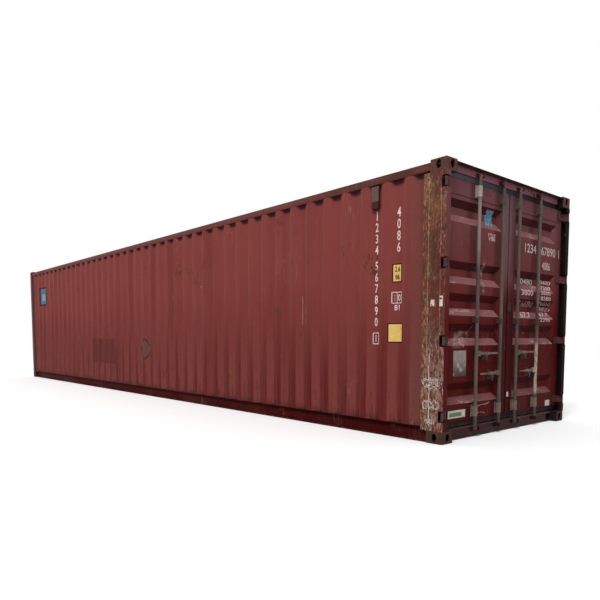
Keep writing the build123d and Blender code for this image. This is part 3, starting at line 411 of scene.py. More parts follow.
def plainRubber(name):
    look = Finish(name)
    wide = look.noise(12, 4, 0.6)
    look.color = look.mix(wide.rise(0.35, 0.75), (14, 14, 16), (32, 30, 32))
    look.over(look.z.rise(2.42, 2.46) * look.y.fall(-0.9, 0.7) * 0.8, (84, 88, 98))
    look.over(look.z.fall(0.13, 0.2) * wide.rise(0.45, 0.6) * 0.6, (64, 42, 34))
    return look.finish(0.62 + wide * 0.2, height=look.noise(150, 2), strength=0.2, distance=0.001, shine=0.12)


def floorPly(name):
    look = Finish(name)
    grain = look.noise(14, 6, 0.6, (0.06, 1, 1))
    look.color = look.mix(grain, (96, 62, 40), (150, 106, 70))
    worn = look.noise(2, 4, 0.6)
    look.over(worn.rise(0.45, 0.75) * 0.6, (84, 72, 62))
    scrapes = look.noise(5, 3, 0.5, (0.1, 4, 1), (2, 6, 0)).near(0.5, 0.003, 0.006)
    look.over(scrapes * 0.6, (60, 44, 34))
    return look.finish(0.6 + worn * 0.25, height=grain, strength=0.3, distance=0.002)


def ventPaint(name, high):  # the cover's front is bleached, its foot and its side stay dark
    look = Finish(name)
    grain = look.noise(60, 4, 0.6)
    look.color = look.mix(look.z.rise(high.z - 0.148, high.z - 0.142), (58, 24, 22), (98, 78, 68))
    look.over(grain.rise(0.35, 0.75) * 0.4, (74, 44, 42))
    side = abs(look.y).fall(high.y - 0.004, high.y - 0.002)
    look.over(side * 0.85, (44, 20, 20))
    return look.finish(0.7 + grain * 0.1, height=grain, strength=0.2, distance=0.001, shine=0.16)


def platePaint(name, plate):  # a dull plate, bleached at the top and grimy at the foot
    look = Finish(name)
    clouds = look.noise(11, 5, 0.65)
    share = (look.z + clouds * 0.08).rise(plate["foot"] + 0.02, plate["foot"] + 0.24)
    look.color = look.mix(share, (58, 38, 32), (142, 128, 122))
    look.over(look.noise(30, 5, 0.7).rise(0.5, 0.7) * 0.4, (80, 66, 58))
    look.over(clouds.rise(0.56, 0.68) * 0.5, (190, 184, 180))
    return look.finish(0.5 + clouds * 0.3, 0.2, height=clouds, strength=0.15, distance=0.001, shine=0.3)


def markPaint(name, color, worn=0.5, under=None):  # thin paint or foil that has flaked
    look = Finish(name)
    flake = look.noise(38, 6, 0.75, shift=(1, 4, 2))
    broad = look.noise(5, 3, 0.6, shift=(6, 0, 2))
    look.color = look.mix(look.noise(20, 5, 0.7, (1, 1, 0.3)).rise(0.4, 0.75) * 0.35, color, under or "chalk")
    look.over(flake.rise(0.3, 0.8) * 0.2, "soot")
    kept = (flake * 0.65 + broad * 0.35).fall(0.62 - 0.12 * worn, 0.66 - 0.12 * worn)
    return look.finish(0.7 + flake * 0.15, shine=0.15, alpha=kept)


def railFootMarks(look):  # painted shadow of the wall on the top half, redder below
    look.over(look.z.rise(0.085, 0.13) * 0.6, (30, 4, 4))
    look.over(look.noise(8, 5, 0.7, (0.3, 1, 1)).rise(0.5, 0.7) * 0.35, (84, 26, 22))


def railTopMarks(look):
    look.over(look.z.fall(2.514, 2.522) * 0.3, "soot")
    near = look.x.rise(3.5, 5.9) * look.noise(4, 5, 0.7, (0.4, 1, 1)).rise(0.4, 0.6)
    look.over(near * 0.8, (66, 38, 28))


def frontPostMarks(look):  # pale at the outer edge, painted shadow at the inner one, beside the wall
    look.over(look.x.fall(-6.05, -6.02) * 0.35, (150, 124, 114))
    look.over(look.x.rise(-6.01, -5.97) * 0.75, (48, 14, 10))


def headerMarks(look):  # the rain edge and the top are black with painted shade
    look.over(look.x.rise(6.026, 6.04) * 0.85, "soot")
    look.over(look.z.rise(2.566, 2.574) * 0.8, "soot")


paintedSteels = {  # shades at the foot and at the top, grime, wear, marks, shine
    "sidePaint": ("wallLow", "wallHigh", 0.5, 0.5, sideMarks), "frontPaint": ("wallLow", "wallHigh", 0.7, 0.8),
    "doorPaint": ("frame", "frame", 0.35, 0.6, doorMarks, 0.05), "roofPaint": ("wallHigh", "wallHigh", 1.3, 0.9),
    "framePaint": ("frame", "frame", 0.8, 1.0), "frontPostPaint": ("frame", "frame", 0.8, 1.0, frontPostMarks),
    "railPaint": ("rail", "rail", 0.8, 1.5, railTopMarks),
    "railFootPaint": ("railFoot", "railFoot", 0.3, 1.0, railFootMarks, 0.04),
    "headerPaint": ("header", "header", 0.5, 0.8, headerMarks), "sillPaint": ("sill", "sill", 0.9, 1.0),
    "underPaint": ("under", "under", 0.9, 1.2), "blackPaint": ("black", "black", 0.3, 0.4, None, 0.04),
    "keeperPaint": ("keeper", "keeper", 0.8, 1.0, None, 0.04), "hingePaint": ("hingeLow", "hingeHigh", 0.4, 0.5),
}
wornSteels = {  # pale and dull shade, share of rust, metal, marks
    "rodSteel": ((89, 79, 71), (56, 46, 42), 0.6, 0.15, rodParts),
    "bracketSteel": ((84, 72, 66), (60, 46, 42), 0.45, 0.15, bracketParts),
    "handleSteel": ((116, 97, 82), (66, 50, 42), 0.7), "gearDark": ((30, 22, 20), (12, 8, 8), 0.3),
    "hingeDark": ((62, 38, 32), (46, 26, 22), 0.8, 0.0),
}
markPaints = {  # shade, how worn, second shade
    "white": ((226, 208, 202), 0.35), "rear": ((204, 184, 180), 0.35), "faded": ((176, 150, 144), 0.9),
    "yellow": ((222, 186, 104), 0.2, (190, 150, 80)), "dark": ((44, 22, 18), 0.3, (70, 40, 30)),
    "edge": ((70, 20, 20), 0.2, (96, 34, 30)), "stain": ((26, 8, 8), 0.2, (40, 14, 12)),
    "sticker": ((204, 192, 190), 0.3, (134, 118, 116)), "blue": ((92, 146, 176), 0.9, (160, 170, 178)),
    "pale": ((132, 156, 176), 0.5, (150, 150, 156)), "label": ((66, 112, 142), 0.3, (120, 140, 152)),
    "green": ((96, 124, 100), 0.5, (160, 164, 140)), "paper": ((206, 204, 188), 0.3, (130, 126, 112)),
    "chalk": ((214, 200, 190), 0.75, (170, 150, 140)),
}
plate = {"left": -0.95, "right": -0.74, "foot": 0.612, "top": 0.86, "thick": 0.0025, "corner": 0.01,
         "inset": 0.014}
finishes = {name: maker(name, *given) for maker, group in (
    (paintedSteel, paintedSteels), (wornSteel, wornSteels), (rustedPost, {"postRust": ()}),
    (castIron, {"castingIron": (cadHigh,)}), (plainRubber, {"rubber": ()}), (floorPly, {"plywood": ()}),
    (ventPaint, {"ventCover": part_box("ventilators")[1:]}), (platePaint, {"platePlain": (plate,)}),
    (markPaint, {name + "Mark": given for name, given in markPaints.items()}),
) for name, given in group.items()}
slotFinish = {
    "oxide_paint": "framePaint", "door_paint": "doorPaint", "rusted_paint": "postRust",
    "casting_steel": "castingIron", "worn_steel": "underPaint", "galvanised_steel": "rodSteel",
    "gasket_rubber": "rubber", "plywood": "plywood",
}
finishNodes = {  # CAD nodes that don't wear their slot's finish
    "sidePaint": "side_wall_left side_wall_right", "frontPaint": "front_wall", "frontPostPaint": "front_posts",
    "roofPaint": "roof_panel", "railPaint": "top_side_rails", "railFootPaint": "bottom_side_rails",
    "headerPaint": "door_header", "sillPaint": "door_sill", "underPaint": "cross_members", "ventCover": "ventilators",
    # near black: paint, and on the right post and the jambs painted shade as well
    "blackPaint": "rear_post_right door_jamb_right door_jamb_left keepers_lower hinge_lugs",
    "keeperPaint": "keepers_upper", "bracketSteel": "door_left_brackets door_right_brackets",
    "handleSteel": "lock_handle_1 lock_handle_2 lock_handle_3 lock_handle_4",
    "gearDark": "door_left_catches door_right_catches catch_hasp_1 catch_hasp_2 catch_hasp_3 catch_hasp_4",
    "hingeDark": "door_left_hinges", "hingePaint": "door_right_hinges",
}
nodeFinish = {node: name for name, group in finishNodes.items() for node in group.split()}
for name, node in nodes.items():
    slotName = node.material_slots[0].material.name if node.material_slots else ""
    finish = finishes[nodeFinish.get(name) or slotFinish[slotName.split(".")[0]]]
    node.data.materials.clear()
    node.data.materials.append(finish)
print("finishes made")


def placed(name, data, body=None):  # puts a mesh, curve, lamp or camera into the scene
    piece = bpy.data.objects.new(name, data)
    scene.collection.objects.link(piece)
    if body:
        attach(piece, body)
    return piece


def pieceFrom(work, name, finish, body):  # the same from a bmesh
    mesh = bpy.data.meshes.new(name)
    work.to_mesh(mesh)
    work.free()
    mesh.materials.append(finishes[finish])
    return placed(name, mesh, body)


def geometryTree(name, **inputs):  # inputs: kind of value to the names of what goes in
    tree = bpy.data.node_groups.new(name, "GeometryNodeTree")
    labels = {label: kind for kind, group in inputs.items() for label in group.split()}
    for label, kind in labels.items():
        tree.interface.new_socket(label, in_out="INPUT", socket_type="NodeSocket" + kind)
    tree.interface.new_socket("Result", in_out="OUTPUT", socket_type="NodeSocketGeometry")
    graph = Graph(tree)
    start = graph.add("NodeGroupInput")
    return graph, {label: start.out(label) for label in labels}


def closeTree(graph, shape, finish):
    shape = graph.add("GeometryNodeRealizeInstances", {"Geometry": shape})
    shape = graph.add("GeometryNodeSetMaterial", {"Geometry": shape, "Material": finish})
    graph.add("NodeGroupOutput", {0: shape})
    return graph.tree


def grown(name, tree, base, values, body):  # runs a tree on an object and keeps the result as a plain mesh
    maker = placed(name + "Maker", base or bpy.data.meshes.new(name + "Base"))
    step = maker.modifiers.new("make", "NODES")
    step.node_group = tree
    for item in tree.interface.items_tree:
        if item.in_out == "INPUT" and item.name in values:
            step[item.identifier] = values[item.name]
    ready = maker.evaluated_get(bpy.context.evaluated_depsgraph_get())
    mesh = bpy.data.meshes.new_from_object(ready)
    mesh.name = name
    bpy.data.objects.remove(maker)
    return placed(name, mesh, body)


def pressedSheetTree():
    graph, given = geometryTree(
        "pressedSheet", Int="columns rows", Material="paint",
        Float="length height low pitch trough slope depth plate bend first last dent seed")
    sheet = graph.add("GeometryNodeMeshGrid", {
        "Size X": given["length"], "Size Y": given["height"], "Vertices X": given["columns"],
        "Vertices Y": given["rows"]})
    here = graph.add("GeometryNodeInputPosition")
    across = graph.add("ShaderNodeSeparateXYZ", {0: here})
    along = across.most(given["first"] - given["pitch"] / 2).least(given["last"])
    away = along.maths("PINGPONG", along - given["first"], given["pitch"] / 2)
    depth = (given["trough"] / 2 + given["slope"] - away) * given["depth"] / given["slope"]
    depth = depth.maths("SMOOTH_MIN", depth, given["depth"], given["bend"])
    depth = depth.maths("SMOOTH_MAX", depth, 0.0, given["bend"])
    dents, knocks = (graph.add("ShaderNodeTexNoise", noise_dimensions="4D", values={
        "Vector": here, "W": seed, "Scale": scale, "Detail": detail}).rise(start, 0.85)
        for seed, scale, detail, start in ((given["seed"], 1.6, 2, 0.4), (given["seed"] + 5, 5, 1, 0.6)))
    depth = depth + (dents + knocks) * given["dent"]
    height = across.out("Y") + given["low"] + given["height"] / 2
    spread = graph.add("ShaderNodeCombineXYZ", {"X": across, "Y": depth, "Z": height})
    outer = graph.add("GeometryNodeSetPosition", {"Geometry": sheet, "Position": spread})
    behind = graph.add("ShaderNodeCombineXYZ", {"Y": given["plate"]})
    inner = graph.add("GeometryNodeSetPosition", {"Geometry": outer, "Offset": behind})
    inner = graph.add("GeometryNodeFlipFaces", {"Mesh": inner})
    faces = graph.add("GeometryNodeInputMeshEdgeNeighbors")
    rim = faces.maths("COMPARE", faces, 1.0, 0.5)
    edge = graph.add("GeometryNodeExtrudeMesh", mode="EDGES", values={
        "Mesh": outer, "Selection": rim, "Offset": behind, "Offset Scale": 1.0})
    shell = graph.add("GeometryNodeJoinGeometry")
    graph.tree.links.new(inner.socket, shell.socket.node.inputs[0])
    graph.tree.links.new(edge.socket, shell.socket.node.inputs[0])
    shell = graph.add("GeometryNodeMergeByDistance", {"Geometry": shell, "Distance": 0.0001})
    return closeTree(graph, shell, given["paint"])


sheetTree = pressedSheetTree()


def closeSeams(mesh):  # and turns its faces outward
    work = bmesh.new()
    work.from_mesh(mesh)
    bmesh.ops.remove_doubles(work, verts=work.verts, dist=0.00005)
    bmesh.ops.recalc_face_normals(work, faces=work.faces)
    work.to_mesh(mesh)
    work.free()


low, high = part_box("side_wall_left")
middle = (low.x + high.x) / 2
walls = {}
for side, turn in (("left", 1), ("right", -1)):
    wall = walls[side] = grown("pressedSide_" + side, sheetTree, None, {
        **sideWall, "length": high.x - low.x, "height": high.z - low.z, "low": low.z,
        "first": sideWall["doorTrough"] - middle - sideWall["pitch"] * (sideWall["troughs"] - 1),
        "last": sideWall["doorTrough"] - middle, "seed": 3.0 + turn,
        "columns": sideWall["columnsPerPitch"] * sideWall["troughs"] + 1, "paint": finishes["sidePaint"]}, None)
    wall.data.transform(Matrix.Translation((middle, low.y * turn, 0)) @ Matrix.Diagonal((1, turn, 1, 1)))
    closeSeams(wall.data)
    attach(wall, "root")
    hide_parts("side_wall_" + side)
print("side walls pressed")


def rayTarget(*parts):
    work = bmesh.new()
    for part in parts:
        work.from_mesh(part.data)
    target = BVHTree.FromBMesh(work)
    work.free()
    return target


sides = {  # what is right and what is out, seen from outside, and where a ray to that side starts
    "left": (Vector((1, 0, 0)), Vector((0, -1, 0)), Vector((0, -1.3, 0))),
    "right": (Vector((-1, 0, 0)), Vector((0, 1, 0)), Vector((0, 1.3, 0))),
    "rear": (Vector((0, 1, 0)), Vector((1, 0, 0)), Vector((6.2, 0, 0))),
}


rayLength, facet = 0.4, 0.012  # how far a mark looks for the steel, and how finely it is cut to follow it


def spotOn(side, across, up):  # where a ray to that side starts
    right, _, start = sides[side]
    return start + Vector((abs(right.x) * across, abs(right.y) * across, up))


class Marks:  # flat shapes that are laid on one side of the container
    def __init__(self, side, target, body, name):
        self.side, self.target, self.body, self.name, self.work = side, target, body, name, {}
        self.right, self.out, _ = sides[side]

    def lay(self, finish, mesh, place, height, proud=0.0006):
        work = bmesh.new()
        work.from_mesh(mesh)
        for axis, plane in enumerate((Vector((1, 0, 0)), Vector((0, 1, 0)))):
            spots = [vertex.co[axis] for vertex in work.verts]
            cut = math.ceil(min(spots) / facet) * facet
            while cut < max(spots):
                bmesh.ops.bisect_plane(work, geom=work.verts[:] + work.edges[:] + work.faces[:], dist=0.00001,
                                       plane_co=plane * cut, plane_no=plane)
                cut += facet
        bmesh.ops.triangulate(work, faces=work.faces)
        middle = spotOn(self.side, place, height)
        lost = []
        for vertex in work.verts:
            spot = middle + self.right * vertex.co.x + Vector((0, 0, vertex.co.y))
            hit = self.target.ray_cast(spot, -self.out, rayLength)[0]
            if hit is None:
                lost.append(vertex)
            else:
                vertex.co = hit + self.out * proud
        bmesh.ops.delete(work, geom=lost, context="VERTS")
        for face in work.faces:
            if face.normal.dot(self.out) < 0:
                face.normal_flip()
        if finish not in self.work:
            self.work[finish] = bmesh.new()
        work.to_mesh(mesh)
        work.free()
        self.work[finish].from_mesh(mesh)
        bpy.data.meshes.remove(mesh)

    def digits(self, finish, text, place, height, tall, squeeze=0.7, bold=0.014, proud=0.0006):
        curve = bpy.data.curves.new("digits", "FONT")
        curve.body, curve.size, curve.offset = text, 1.0, bold
        curve.align_x, curve.align_y, curve.resolution_u = "CENTER", "CENTER", 3
        mesh = shapeOf(curve)
        top = max(vertex.co.y for vertex in mesh.vertices)
        foot = min(vertex.co.y for vertex in mesh.vertices)
        mesh.transform(Matrix.Diagonal((tall * squeeze / (top - foot), tall / (top - foot), 1, 1))
                       @ Matrix.Translation((0, -(top + foot) / 2, 0)))
        self.lay(finish, mesh, place, height, proud)

    def patch(self, finish, place, height, wide, tall, proud=0.0006):
        self.lay(finish, rectangle("patch", wide, tall), place, height, proud)

    def outline(self, finish, place, height, wide, tall, line):
        sign = 1 if self.right.x + self.right.y > 0 else -1
        for x in (-1, 1):
            self.patch(finish, place + sign * x * (wide - line) / 2, height, line, tall)
            self.patch(finish, place, height + x * (tall - line) / 2, wide, line)

    def stroke(self, finish, points, place, height, width, proud=0.0006):  # a ribbon through points
        curve = bpy.data.curves.new("stroke", "CURVE")
        curve.dimensions = "3D"
        spline = curve.splines.new("NURBS")
        spline.points.add(len(points) - 1)
        for point, (x, y) in zip(spline.points, points):
            point.co = (x, y, 0, 1)
        spline.order_u, spline.use_endpoint_u, spline.resolution_u = 4, True, 8
        path = [vertex.co.copy() for vertex in shapeOf(curve).vertices]
        rows = []
        for index, spot in enumerate(path):
            way = (path[min(index + 1, len(path) - 1)] - path[max(index - 1, 0)]).normalized()
            rows += [spot + Vector((-way.y, way.x, 0)) * width / 2, spot - Vector((-way.y, way.x, 0)) * width / 2]
        mesh = bpy.data.meshes.new("ribbon")
        mesh.from_pydata(rows, [], [(2 * n, 2 * n + 1, 2 * n + 3, 2 * n + 2) for n in range(len(path) - 1)])
        self.lay(finish, mesh, place, height, proud)

    def done(self):
        for finish, work in self.work.items():
            pieceFrom(work, self.name + "_" + finish + "Mark", finish + "Mark", self.body)


def rectangle(name, wide, tall):
    mesh = bpy.data.meshes.new(name)
    mesh.from_pydata([(x * wide / 2, y * tall / 2, 0) for x, y in ((-1, -1), (1, -1), (1, 1), (-1, 1))],
                     [], [(0, 1, 2, 3)])
    return mesh


def shapeOf(curve):  # the plain mesh of a curve or text
    maker = placed("curveMaker", curve)
    mesh = bpy.data.meshes.new_from_object(maker.evaluated_get(bpy.context.evaluated_depsgraph_get()))
    bpy.data.objects.remove(maker)
    bpy.data.curves.remove(curve)
    return mesh


numbers = {"row": "1234 567890 1", "size": "4086", "tall": 0.088, "pitch": 0.112, "gap": 0.046, "top": 2.196,
           "rowTrough": 2, "sizeTrough": 1, "boxedBelow": 1.03, "box": (0.08, 0.118, 0.008), "boxDrop": 0.008}
underSize = {  # below the size's column: finish, across from it, height, width, height of the patch, proud
    "labels": (("dark", -0.01, 1.612, 0.112, 0.182, 0.0005), ("yellow", -0.01, 1.612, 0.09, 0.158, 0.0009),
               ("dark", -0.016, 1.03, 0.176, 0.196, 0.0004), ("yellow", -0.016, 1.03, 0.15, 0.17, 0.0009),
               ("white", -0.012, 1.374, 0.007, 0.1, 0.0006)),
    "frame": (-0.012, 1.374, 0.116, 0.112, 0.007),
    "figures": (("dark", "2.6", -0.01, 0, 1.65, 0.052, 0.8, 0.03, 0.0013),  # the fourth counts towards the doors
                ("dark", "86", -0.01, 0, 1.574, 0.052, 0.8, 0.03, 0.0013),
                ("white", "0", -0.012, 0.027, 1.374, 0.062, 0.8), ("faded", "1", -0.012, -0.027, 1.374, 0.062, 0.6),
                ("white", "81", -0.006, 0, 1.278, 0.056, 1.0)),
}
farLabel = (("edge", -5.2, 1.95, 0.54, 0.43), ("label", -5.2, 1.95, 0.46, 0.36, 0.001),
            ("pale", -5.17, 1.92, 0.09, 0.16, 0.0014))
scratches = {"wide": 0.006, "lines": (  # points, and where they lie on the left wall
    (((0, 0.16), (0.006, 0.08), (-0.004, 0), (0.004, -0.08), (0, -0.16)), 4.12, 1.3),
    (((0, 0.1), (0.01, 0.03), (0.003, -0.04), (0.012, -0.11)), 4.19, 1.24),
    (((-0.06, 0.02), (0, 0), (0.05, -0.03), (0.08, -0.02)), 1.92, 1.71))}


def wallNumbers(marks, turn):  # columns of figures in the troughs, read downwards
    place = sideWall["doorTrough"] - sideWall["pitch"] * numbers["rowTrough"]
    height, tall = numbers["top"], numbers["tall"]
    for figure in numbers["row"]:
        if figure == " ":
            height -= numbers["gap"]
            continue
        if height < numbers["boxedBelow"]:
            low = height - numbers["boxDrop"]
            marks.digits("white", figure, place, low, tall - 2 * numbers["boxDrop"])
            marks.outline("white", place, low, *numbers["box"])
        else:
            marks.digits("white", figure, place, height, tall)
        height -= numbers["pitch"]
    place = sideWall["doorTrough"] - sideWall["pitch"] * numbers["sizeTrough"]
    for index, figure in enumerate(numbers["size"]):
        marks.digits("white", figure, place, numbers["top"] - index * numbers["pitch"], tall + 0.006)
    for finish, across, *more in underSize["labels"]:
        marks.patch(finish, place + across, *more)
    across, *more = underSize["frame"]
    marks.outline("white", place + across, *more)
    for finish, figures, across, doorward, *more in underSize["figures"]:
        marks.digits(finish, figures, place + across + doorward * turn, *more)


for side, turn in (("left", 1), ("right", -1)):
    marks = Marks(side, rayTarget(walls[side]), "root", "sideMarks_" + side)
    wallNumbers(marks, turn)
    for row in farLabel:
        marks.patch(*row)
    if side == "left":
        for points, place, height in scratches["lines"]:
            marks.stroke("faded", points, place, height, scratches["wide"])
    marks.done()

doorLabels = {  # finish, place, height, width, height of the patch, proud
    "left": (("blue", -0.345, 2.172, 0.125, 0.15), ("faded", -0.325, 1.985, 0.13, 0.07),
             ("paper", -0.88, 0.252, 0.29, 0.074), ("green", -0.9, 0.248, 0.2, 0.038, 0.001)),
    "right": (("sticker", 0.965, 0.223, 0.11, 0.066), ("sticker", 0.055, 0.383, 0.04, 0.05)),
}
doorStrokes = {  # finish, points, place, height, width
    "left": (("faded", ((-0.04, -0.1), (0.0, 0.0), (0.06, 0.09)), -0.62, 1.14, 0.007),
             ("faded", ((-0.1, 0.0), (-0.02, 0.02), (0.07, 0.0), (0.12, 0.03)), -0.42, 0.3, 0.008),
             ("faded", ((-0.09, -0.04), (-0.01, -0.02), (0.06, -0.05)), -0.45, 0.27, 0.008)),
    "right": (("stain", ((-0.14, 0.117), (-0.02, 0.06), (0.1, 0.0), (0.03, -0.11), (-0.1, -0.23)),
               1.02, 0.92, 0.022),),
}
rear = {  # figures on the right leaf: place, height, tall, squeeze, bold; the table's columns count from each row
    "row": (0.743, 1.953, 0.096, 1.04, 0.006), "size": (0.836, 1.79, 0.086, 0.8, 0.006),
    "top": 1.596, "pitch": 0.121, "fadedRow": 2, "rows": ("30480 67200", "3800 8380", "26680 58820", "67.7 2390"),
    "columns": ((0, 0.425, 0.0, 0.06, 1.6, 0.006), (0, 0.855, 0.014, 0.044, 1.95, 0.004),
                (1, 0.855, -0.048, 0.044, 1.95, 0.004)),
}
for side in ("left", "right"):
    leaf = "door_" + side
    marks = Marks("rear", rayTarget(nodes[leaf + "_panel"], nodes[leaf + "_frame"]), leaf, "doorMarks_" + side)
    if side == "right":
        marks.digits("rear", numbers["row"], *rear["row"])
        marks.digits("rear", numbers["size"], *rear["size"])
        for index, figures in enumerate(rear["rows"]):
            for word, place, up, *more in rear["columns"]:
                marks.digits("faded" if index == rear["fadedRow"] else "rear", figures.split()[word], place,
                             rear["top"] - index * rear["pitch"] + up, *more)
    for row in doorLabels[side]:
        marks.patch(*row)
    for row in doorStrokes[side]:
        marks.stroke(*row)
    marks.done()

work = bmesh.new()
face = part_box("door_left_panel")[1].x
ring = [work.verts.new((face, y, z)) for y, z in (
    (plate["left"], plate["foot"]), (plate["right"], plate["foot"]), (plate["right"], plate["top"]),
    (plate["left"], plate["top"]))]
work.faces.new(ring)
bmesh.ops.bevel(work, geom=ring, offset=plate["corner"], segments=4, profile=0.5, affect="VERTICES")
raised = bmesh.ops.extrude_face_region(work, geom=work.faces[:])
bmesh.ops.translate(work, vec=(plate["thick"], 0, 0), verts=[
    part for part in raised["geom"] if isinstance(part, bmesh.types.BMVert)])
bmesh.ops.recalc_face_normals(work, faces=work.faces)
doorPlate = pieceFrom(work, "doorPlate", "platePlain", "door_left")
print("plate fixed")

chalk = {  # loops on the left post: place, height, size; then a line and three bits of paper
    "seed": 11, "clusters": ((5.975, 0.565, 0.11), (5.965, 0.365, 0.1), (5.955, 0.205, 0.06)), "strokes": 5,
    "points": 9, "turn": 1.35, "wide": 0.0045, "proud": 0.0008,
    "line": (((0.0, 0.32), (-0.012, 0.16), (0.004, 0.0), (-0.004, -0.18), (0.004, -0.36)), 5.945, 0.52, 0.007),
    "papers": (("chalk", 5.966, 1.3, 0.042, 0.06), ("white", 6.06, 1.314, 0.036, 0.094),
               ("dark", 6.056, 1.338, 0.022, 0.016, 0.0012)),
}
random.seed(chalk["seed"])
marks = Marks("left", rayTarget(nodes["rear_post_left"]), "root", "postMarks")
for place, height, size in chalk["clusters"]:
    for stroke in range(chalk["strokes"]):
        points = []
        for step in range(chalk["points"]):
            angle = step * chalk["turn"] + stroke
            reach = size * random.uniform(0.45, 1.0)
            points.append((math.cos(angle) * reach * 0.55 + (stroke - 2) * size * 0.3, math.sin(angle) * reach * 0.62))
        marks.stroke("chalk", points, place, height, chalk["wide"], chalk["proud"])
marks.stroke("chalk", *chalk["line"])
for row in chalk["papers"]:
    marks.patch(*row)
marks.done()
print("numbers, labels and chalk laid on")


def headTree():  # a low head on each point, turned to face out
    graph, given = geometryTree(
        "boltHeads", Geometry="points", Float="radius top height", Int="sides", Vector="turn", Material="paint")
    head = graph.add("GeometryNodeMeshCone", {
        "Vertices": given["sides"], "Radius Top": given["top"], "Radius Bottom": given["radius"],
        "Depth": given["height"]})
    heads = graph.add("GeometryNodeInstanceOnPoints", {
        "Points": given["points"], "Instance": head, "Rotation": given["turn"]})
    return closeTree(graph, heads, given["paint"])


headsTree = headTree()
outTurn = {"rear": (0, math.pi / 2, 0), "left": (math.pi / 2, 0, 0), "right": (-math.pi / 2, 0, 0), "top": (0, 0, 0)}


def headsOn(name, side, places, target, body, finish, size):  # places are across and up on that side
    out = sides[side][1]
    hits = [target.ray_cast(spotOn(side, across, up), -out, rayLength)[0] for across, up in places]
    headsAt(name, side, [hit - out * bolts["sunk"] for hit in hits if hit is not None], body, finish, size)


def headsAt(name, side, spots, body, finish, size):
    base = bpy.data.meshes.new(name + "Points")
    base.from_pydata(spots, [], [])
    sizes = dict(zip(("radius", "top", "height", "sides"), size))
    grown(name, headsTree, base, {**sizes, "turn": outTurn[side], "paint": finish}, body)


bolts = {  # radius, radius at the top, height and sides of a head, then where they sit
    "hinge": (0.0085, 0.0065, 0.005, 10), "bearing": (0.0065, 0.006, 0.0045, 6), "rivet": (0.005, 0.003, 0.0025, 8),
    "screw": (0.007, 0.006, 0.0006, 8), "sunk": 0.0004, "hingeHeights": (2.375, 1.657, 0.953, 0.258),
    "hingeAcross": (1.086, 1.118), "hingeUp": 0.022, "bearingHeights": (2.383, 0.262), "bearingReach": (0.031, 0.046),
    "vents": (-5.108, 5.252), "ventReach": 0.026, "ventHeights": (2.276, 2.468),
}
both = (-1, 1)
for side, sign in (("left", -1), ("right", 1)):
    leaf = "door_" + side
    hinges, gear = nodes[leaf + "_hinges"], nodes[leaf + "_brackets"]
    spots = [(sign * across, height + up * bolts["hingeUp"]) for height in bolts["hingeHeights"]
             for across in bolts["hingeAcross"] for up in both]
    headsOn("hingeBolts_" + side, "rear", spots, rayTarget(hinges), leaf, hinges.data.materials[0], bolts["hinge"])
    dx, dz = bolts["bearingReach"]
    spots = [(across + x * dx, height + z * dz) for across in rods[side] for height in bolts["bearingHeights"]
             for x in both for z in both]
    headsOn("bearingBolts_" + side, "rear", spots, rayTarget(gear), leaf, gear.data.materials[0], bolts["bearing"])
seats = {"deep": 0.052, "wide": 0.069, "from": 0.0533, "to": 0.061, "inset": 0.0002}
span = Vector((seats["deep"], seats["wide"], seats["to"] - seats["from"]))
for side, sign in (("left", -1), ("right", 1)):  # plates that close a hinge pocket over and under its lugs
    work = bmesh.new()
    for height in bolts["hingeHeights"]:
        for up in both:
            middle = Vector((cadHigh.x - seats["inset"] - span.x / 2, sign * (cadHigh.y - seats["inset"] - span.y / 2),
                             height + up * (seats["from"] + seats["to"]) / 2))
            bmesh.ops.create_cube(work, size=1.0, matrix=Matrix.Translation(middle) @ Matrix.Diagonal((*span, 1)))
    pieceFrom(work, "hingeSeats_" + side, "postRust" if side == "left" else "blackPaint", "root")
for side in ("left", "right"):
    spots = [(across + x * bolts["ventReach"], height) for across in bolts["vents"] for x in both
             for height in bolts["ventHeights"]]
    headsOn("ventRivets_" + side, side, spots, rayTarget(nodes["ventilators"], walls[side]), "root",
            finishes["ventCover"], bolts["rivet"])
spots = [(y, z) for y in (plate["left"] + plate["inset"], plate["right"] - plate["inset"])
         for z in (plate["foot"] + plate["inset"], plate["top"] - plate["inset"])]
headsOn("plateRivets", "rear", spots, rayTarget(doorPlate), "door_left", finishes["platePlain"], bolts["rivet"])
boards = {"top": 0.166, "rows": 39, "from": -5.7, "pitch": 0.3, "sunk": 0.0001,
          "columns": (-1.1, -0.88, -0.62, -0.3, 0.3, 0.62, 0.88, 1.1)}
headsAt("floorScrews", "top", [(boards["from"] + row * boards["pitch"], across, boards["top"] - boards["sunk"])
                               for row in range(boards["rows"]) for across in boards["columns"]],
        "root", finishes["gearDark"], bolts["screw"])
print("bolts, rivets and screws set")

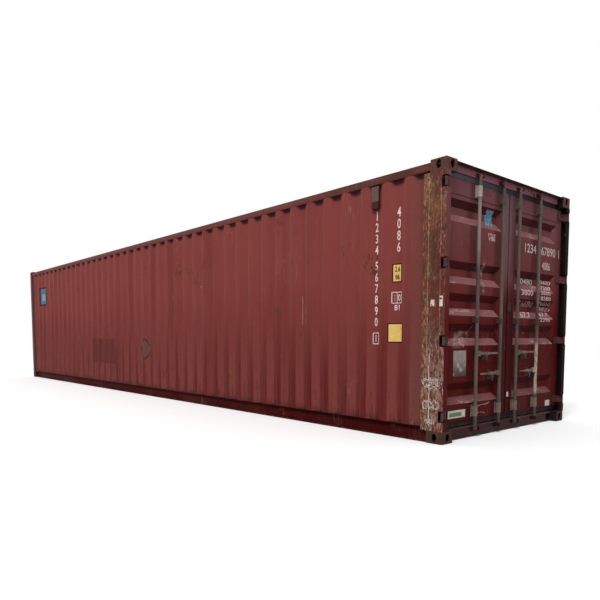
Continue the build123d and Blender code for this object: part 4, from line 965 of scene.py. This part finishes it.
view = {"place": (9.145, -5.592, 0.988), "yaw": 138.965, "pitch": -4.34, "focal": 571.6, "principalY": 380.6,
        "frame": 600.0, "sensor": 36.0}
cameraData = bpy.data.cameras.new("camera")
cameraData.sensor_width = view["sensor"]
cameraData.lens = view["focal"] / view["frame"] * view["sensor"]
cameraData.shift_y = (view["principalY"] - view["frame"] / 2) / view["frame"]
camera = placed("camera", cameraData)
camera.location = view["place"]
camera.rotation_euler = (math.radians(90 + view["pitch"]), 0, math.radians(view["yaw"] - 90))
scene.camera = camera

light = {"sky": 0.78, "sun": 2.4, "toSun": (0.28, -0.6, 0.74), "softness": 20.0}
world = bpy.data.worlds.new("studio")
world.use_nodes = True
scene.world = world
sky = Graph(world.node_tree)
world.node_tree.nodes.clear()
soft = sky.add("ShaderNodeBackground", {"Color": (1, 1, 1, 1), "Strength": light["sky"]})
white = sky.add("ShaderNodeBackground", {"Color": (1, 1, 1, 1), "Strength": 1.0})
sky.add("ShaderNodeOutputWorld", {"Surface": sky.add("ShaderNodeMixShader", {0: sky.seen(), 1: soft, 2: white})})
sunData = bpy.data.lights.new("sun", "SUN")
sunData.energy = light["sun"]
sunData.angle = math.radians(light["softness"])
sun = placed("sun", sunData)
sun.rotation_euler = Vector(light["toSun"]).to_track_quat("Z", "Y").to_euler()

floorSize = {"side": 120.0, "fadeFrom": 9.0, "fadeTo": 24.0, "shade": 0.86, "bounce": 0.16}
floor = placed("studioFloor", rectangle("studioFloor", floorSize["side"], floorSize["side"]))
ground = Finish("groundPaint")
far = ground.add("ShaderNodeVectorMath", {0: ground.place}, 1, operation="LENGTH")
matt = ground.add("ShaderNodeBsdfDiffuse", {"Color": ground.mix(
    ground.seen(), [floorSize["bounce"]] * 3 + [1], [floorSize["shade"]] * 3 + [1])})
glow = ground.add("ShaderNodeEmission", {"Color": (1, 1, 1, 1), "Strength": 1.0})
ground.add("ShaderNodeOutputMaterial", {"Surface": ground.add("ShaderNodeMixShader", {
    0: far.rise(floorSize["fadeFrom"], floorSize["fadeTo"]), 1: matt, 2: glow})})
floor.data.materials.append(ground.material)
floor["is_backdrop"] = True
scene.view_settings.view_transform = "Standard"
print("floor, light and camera set")

low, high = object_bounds()
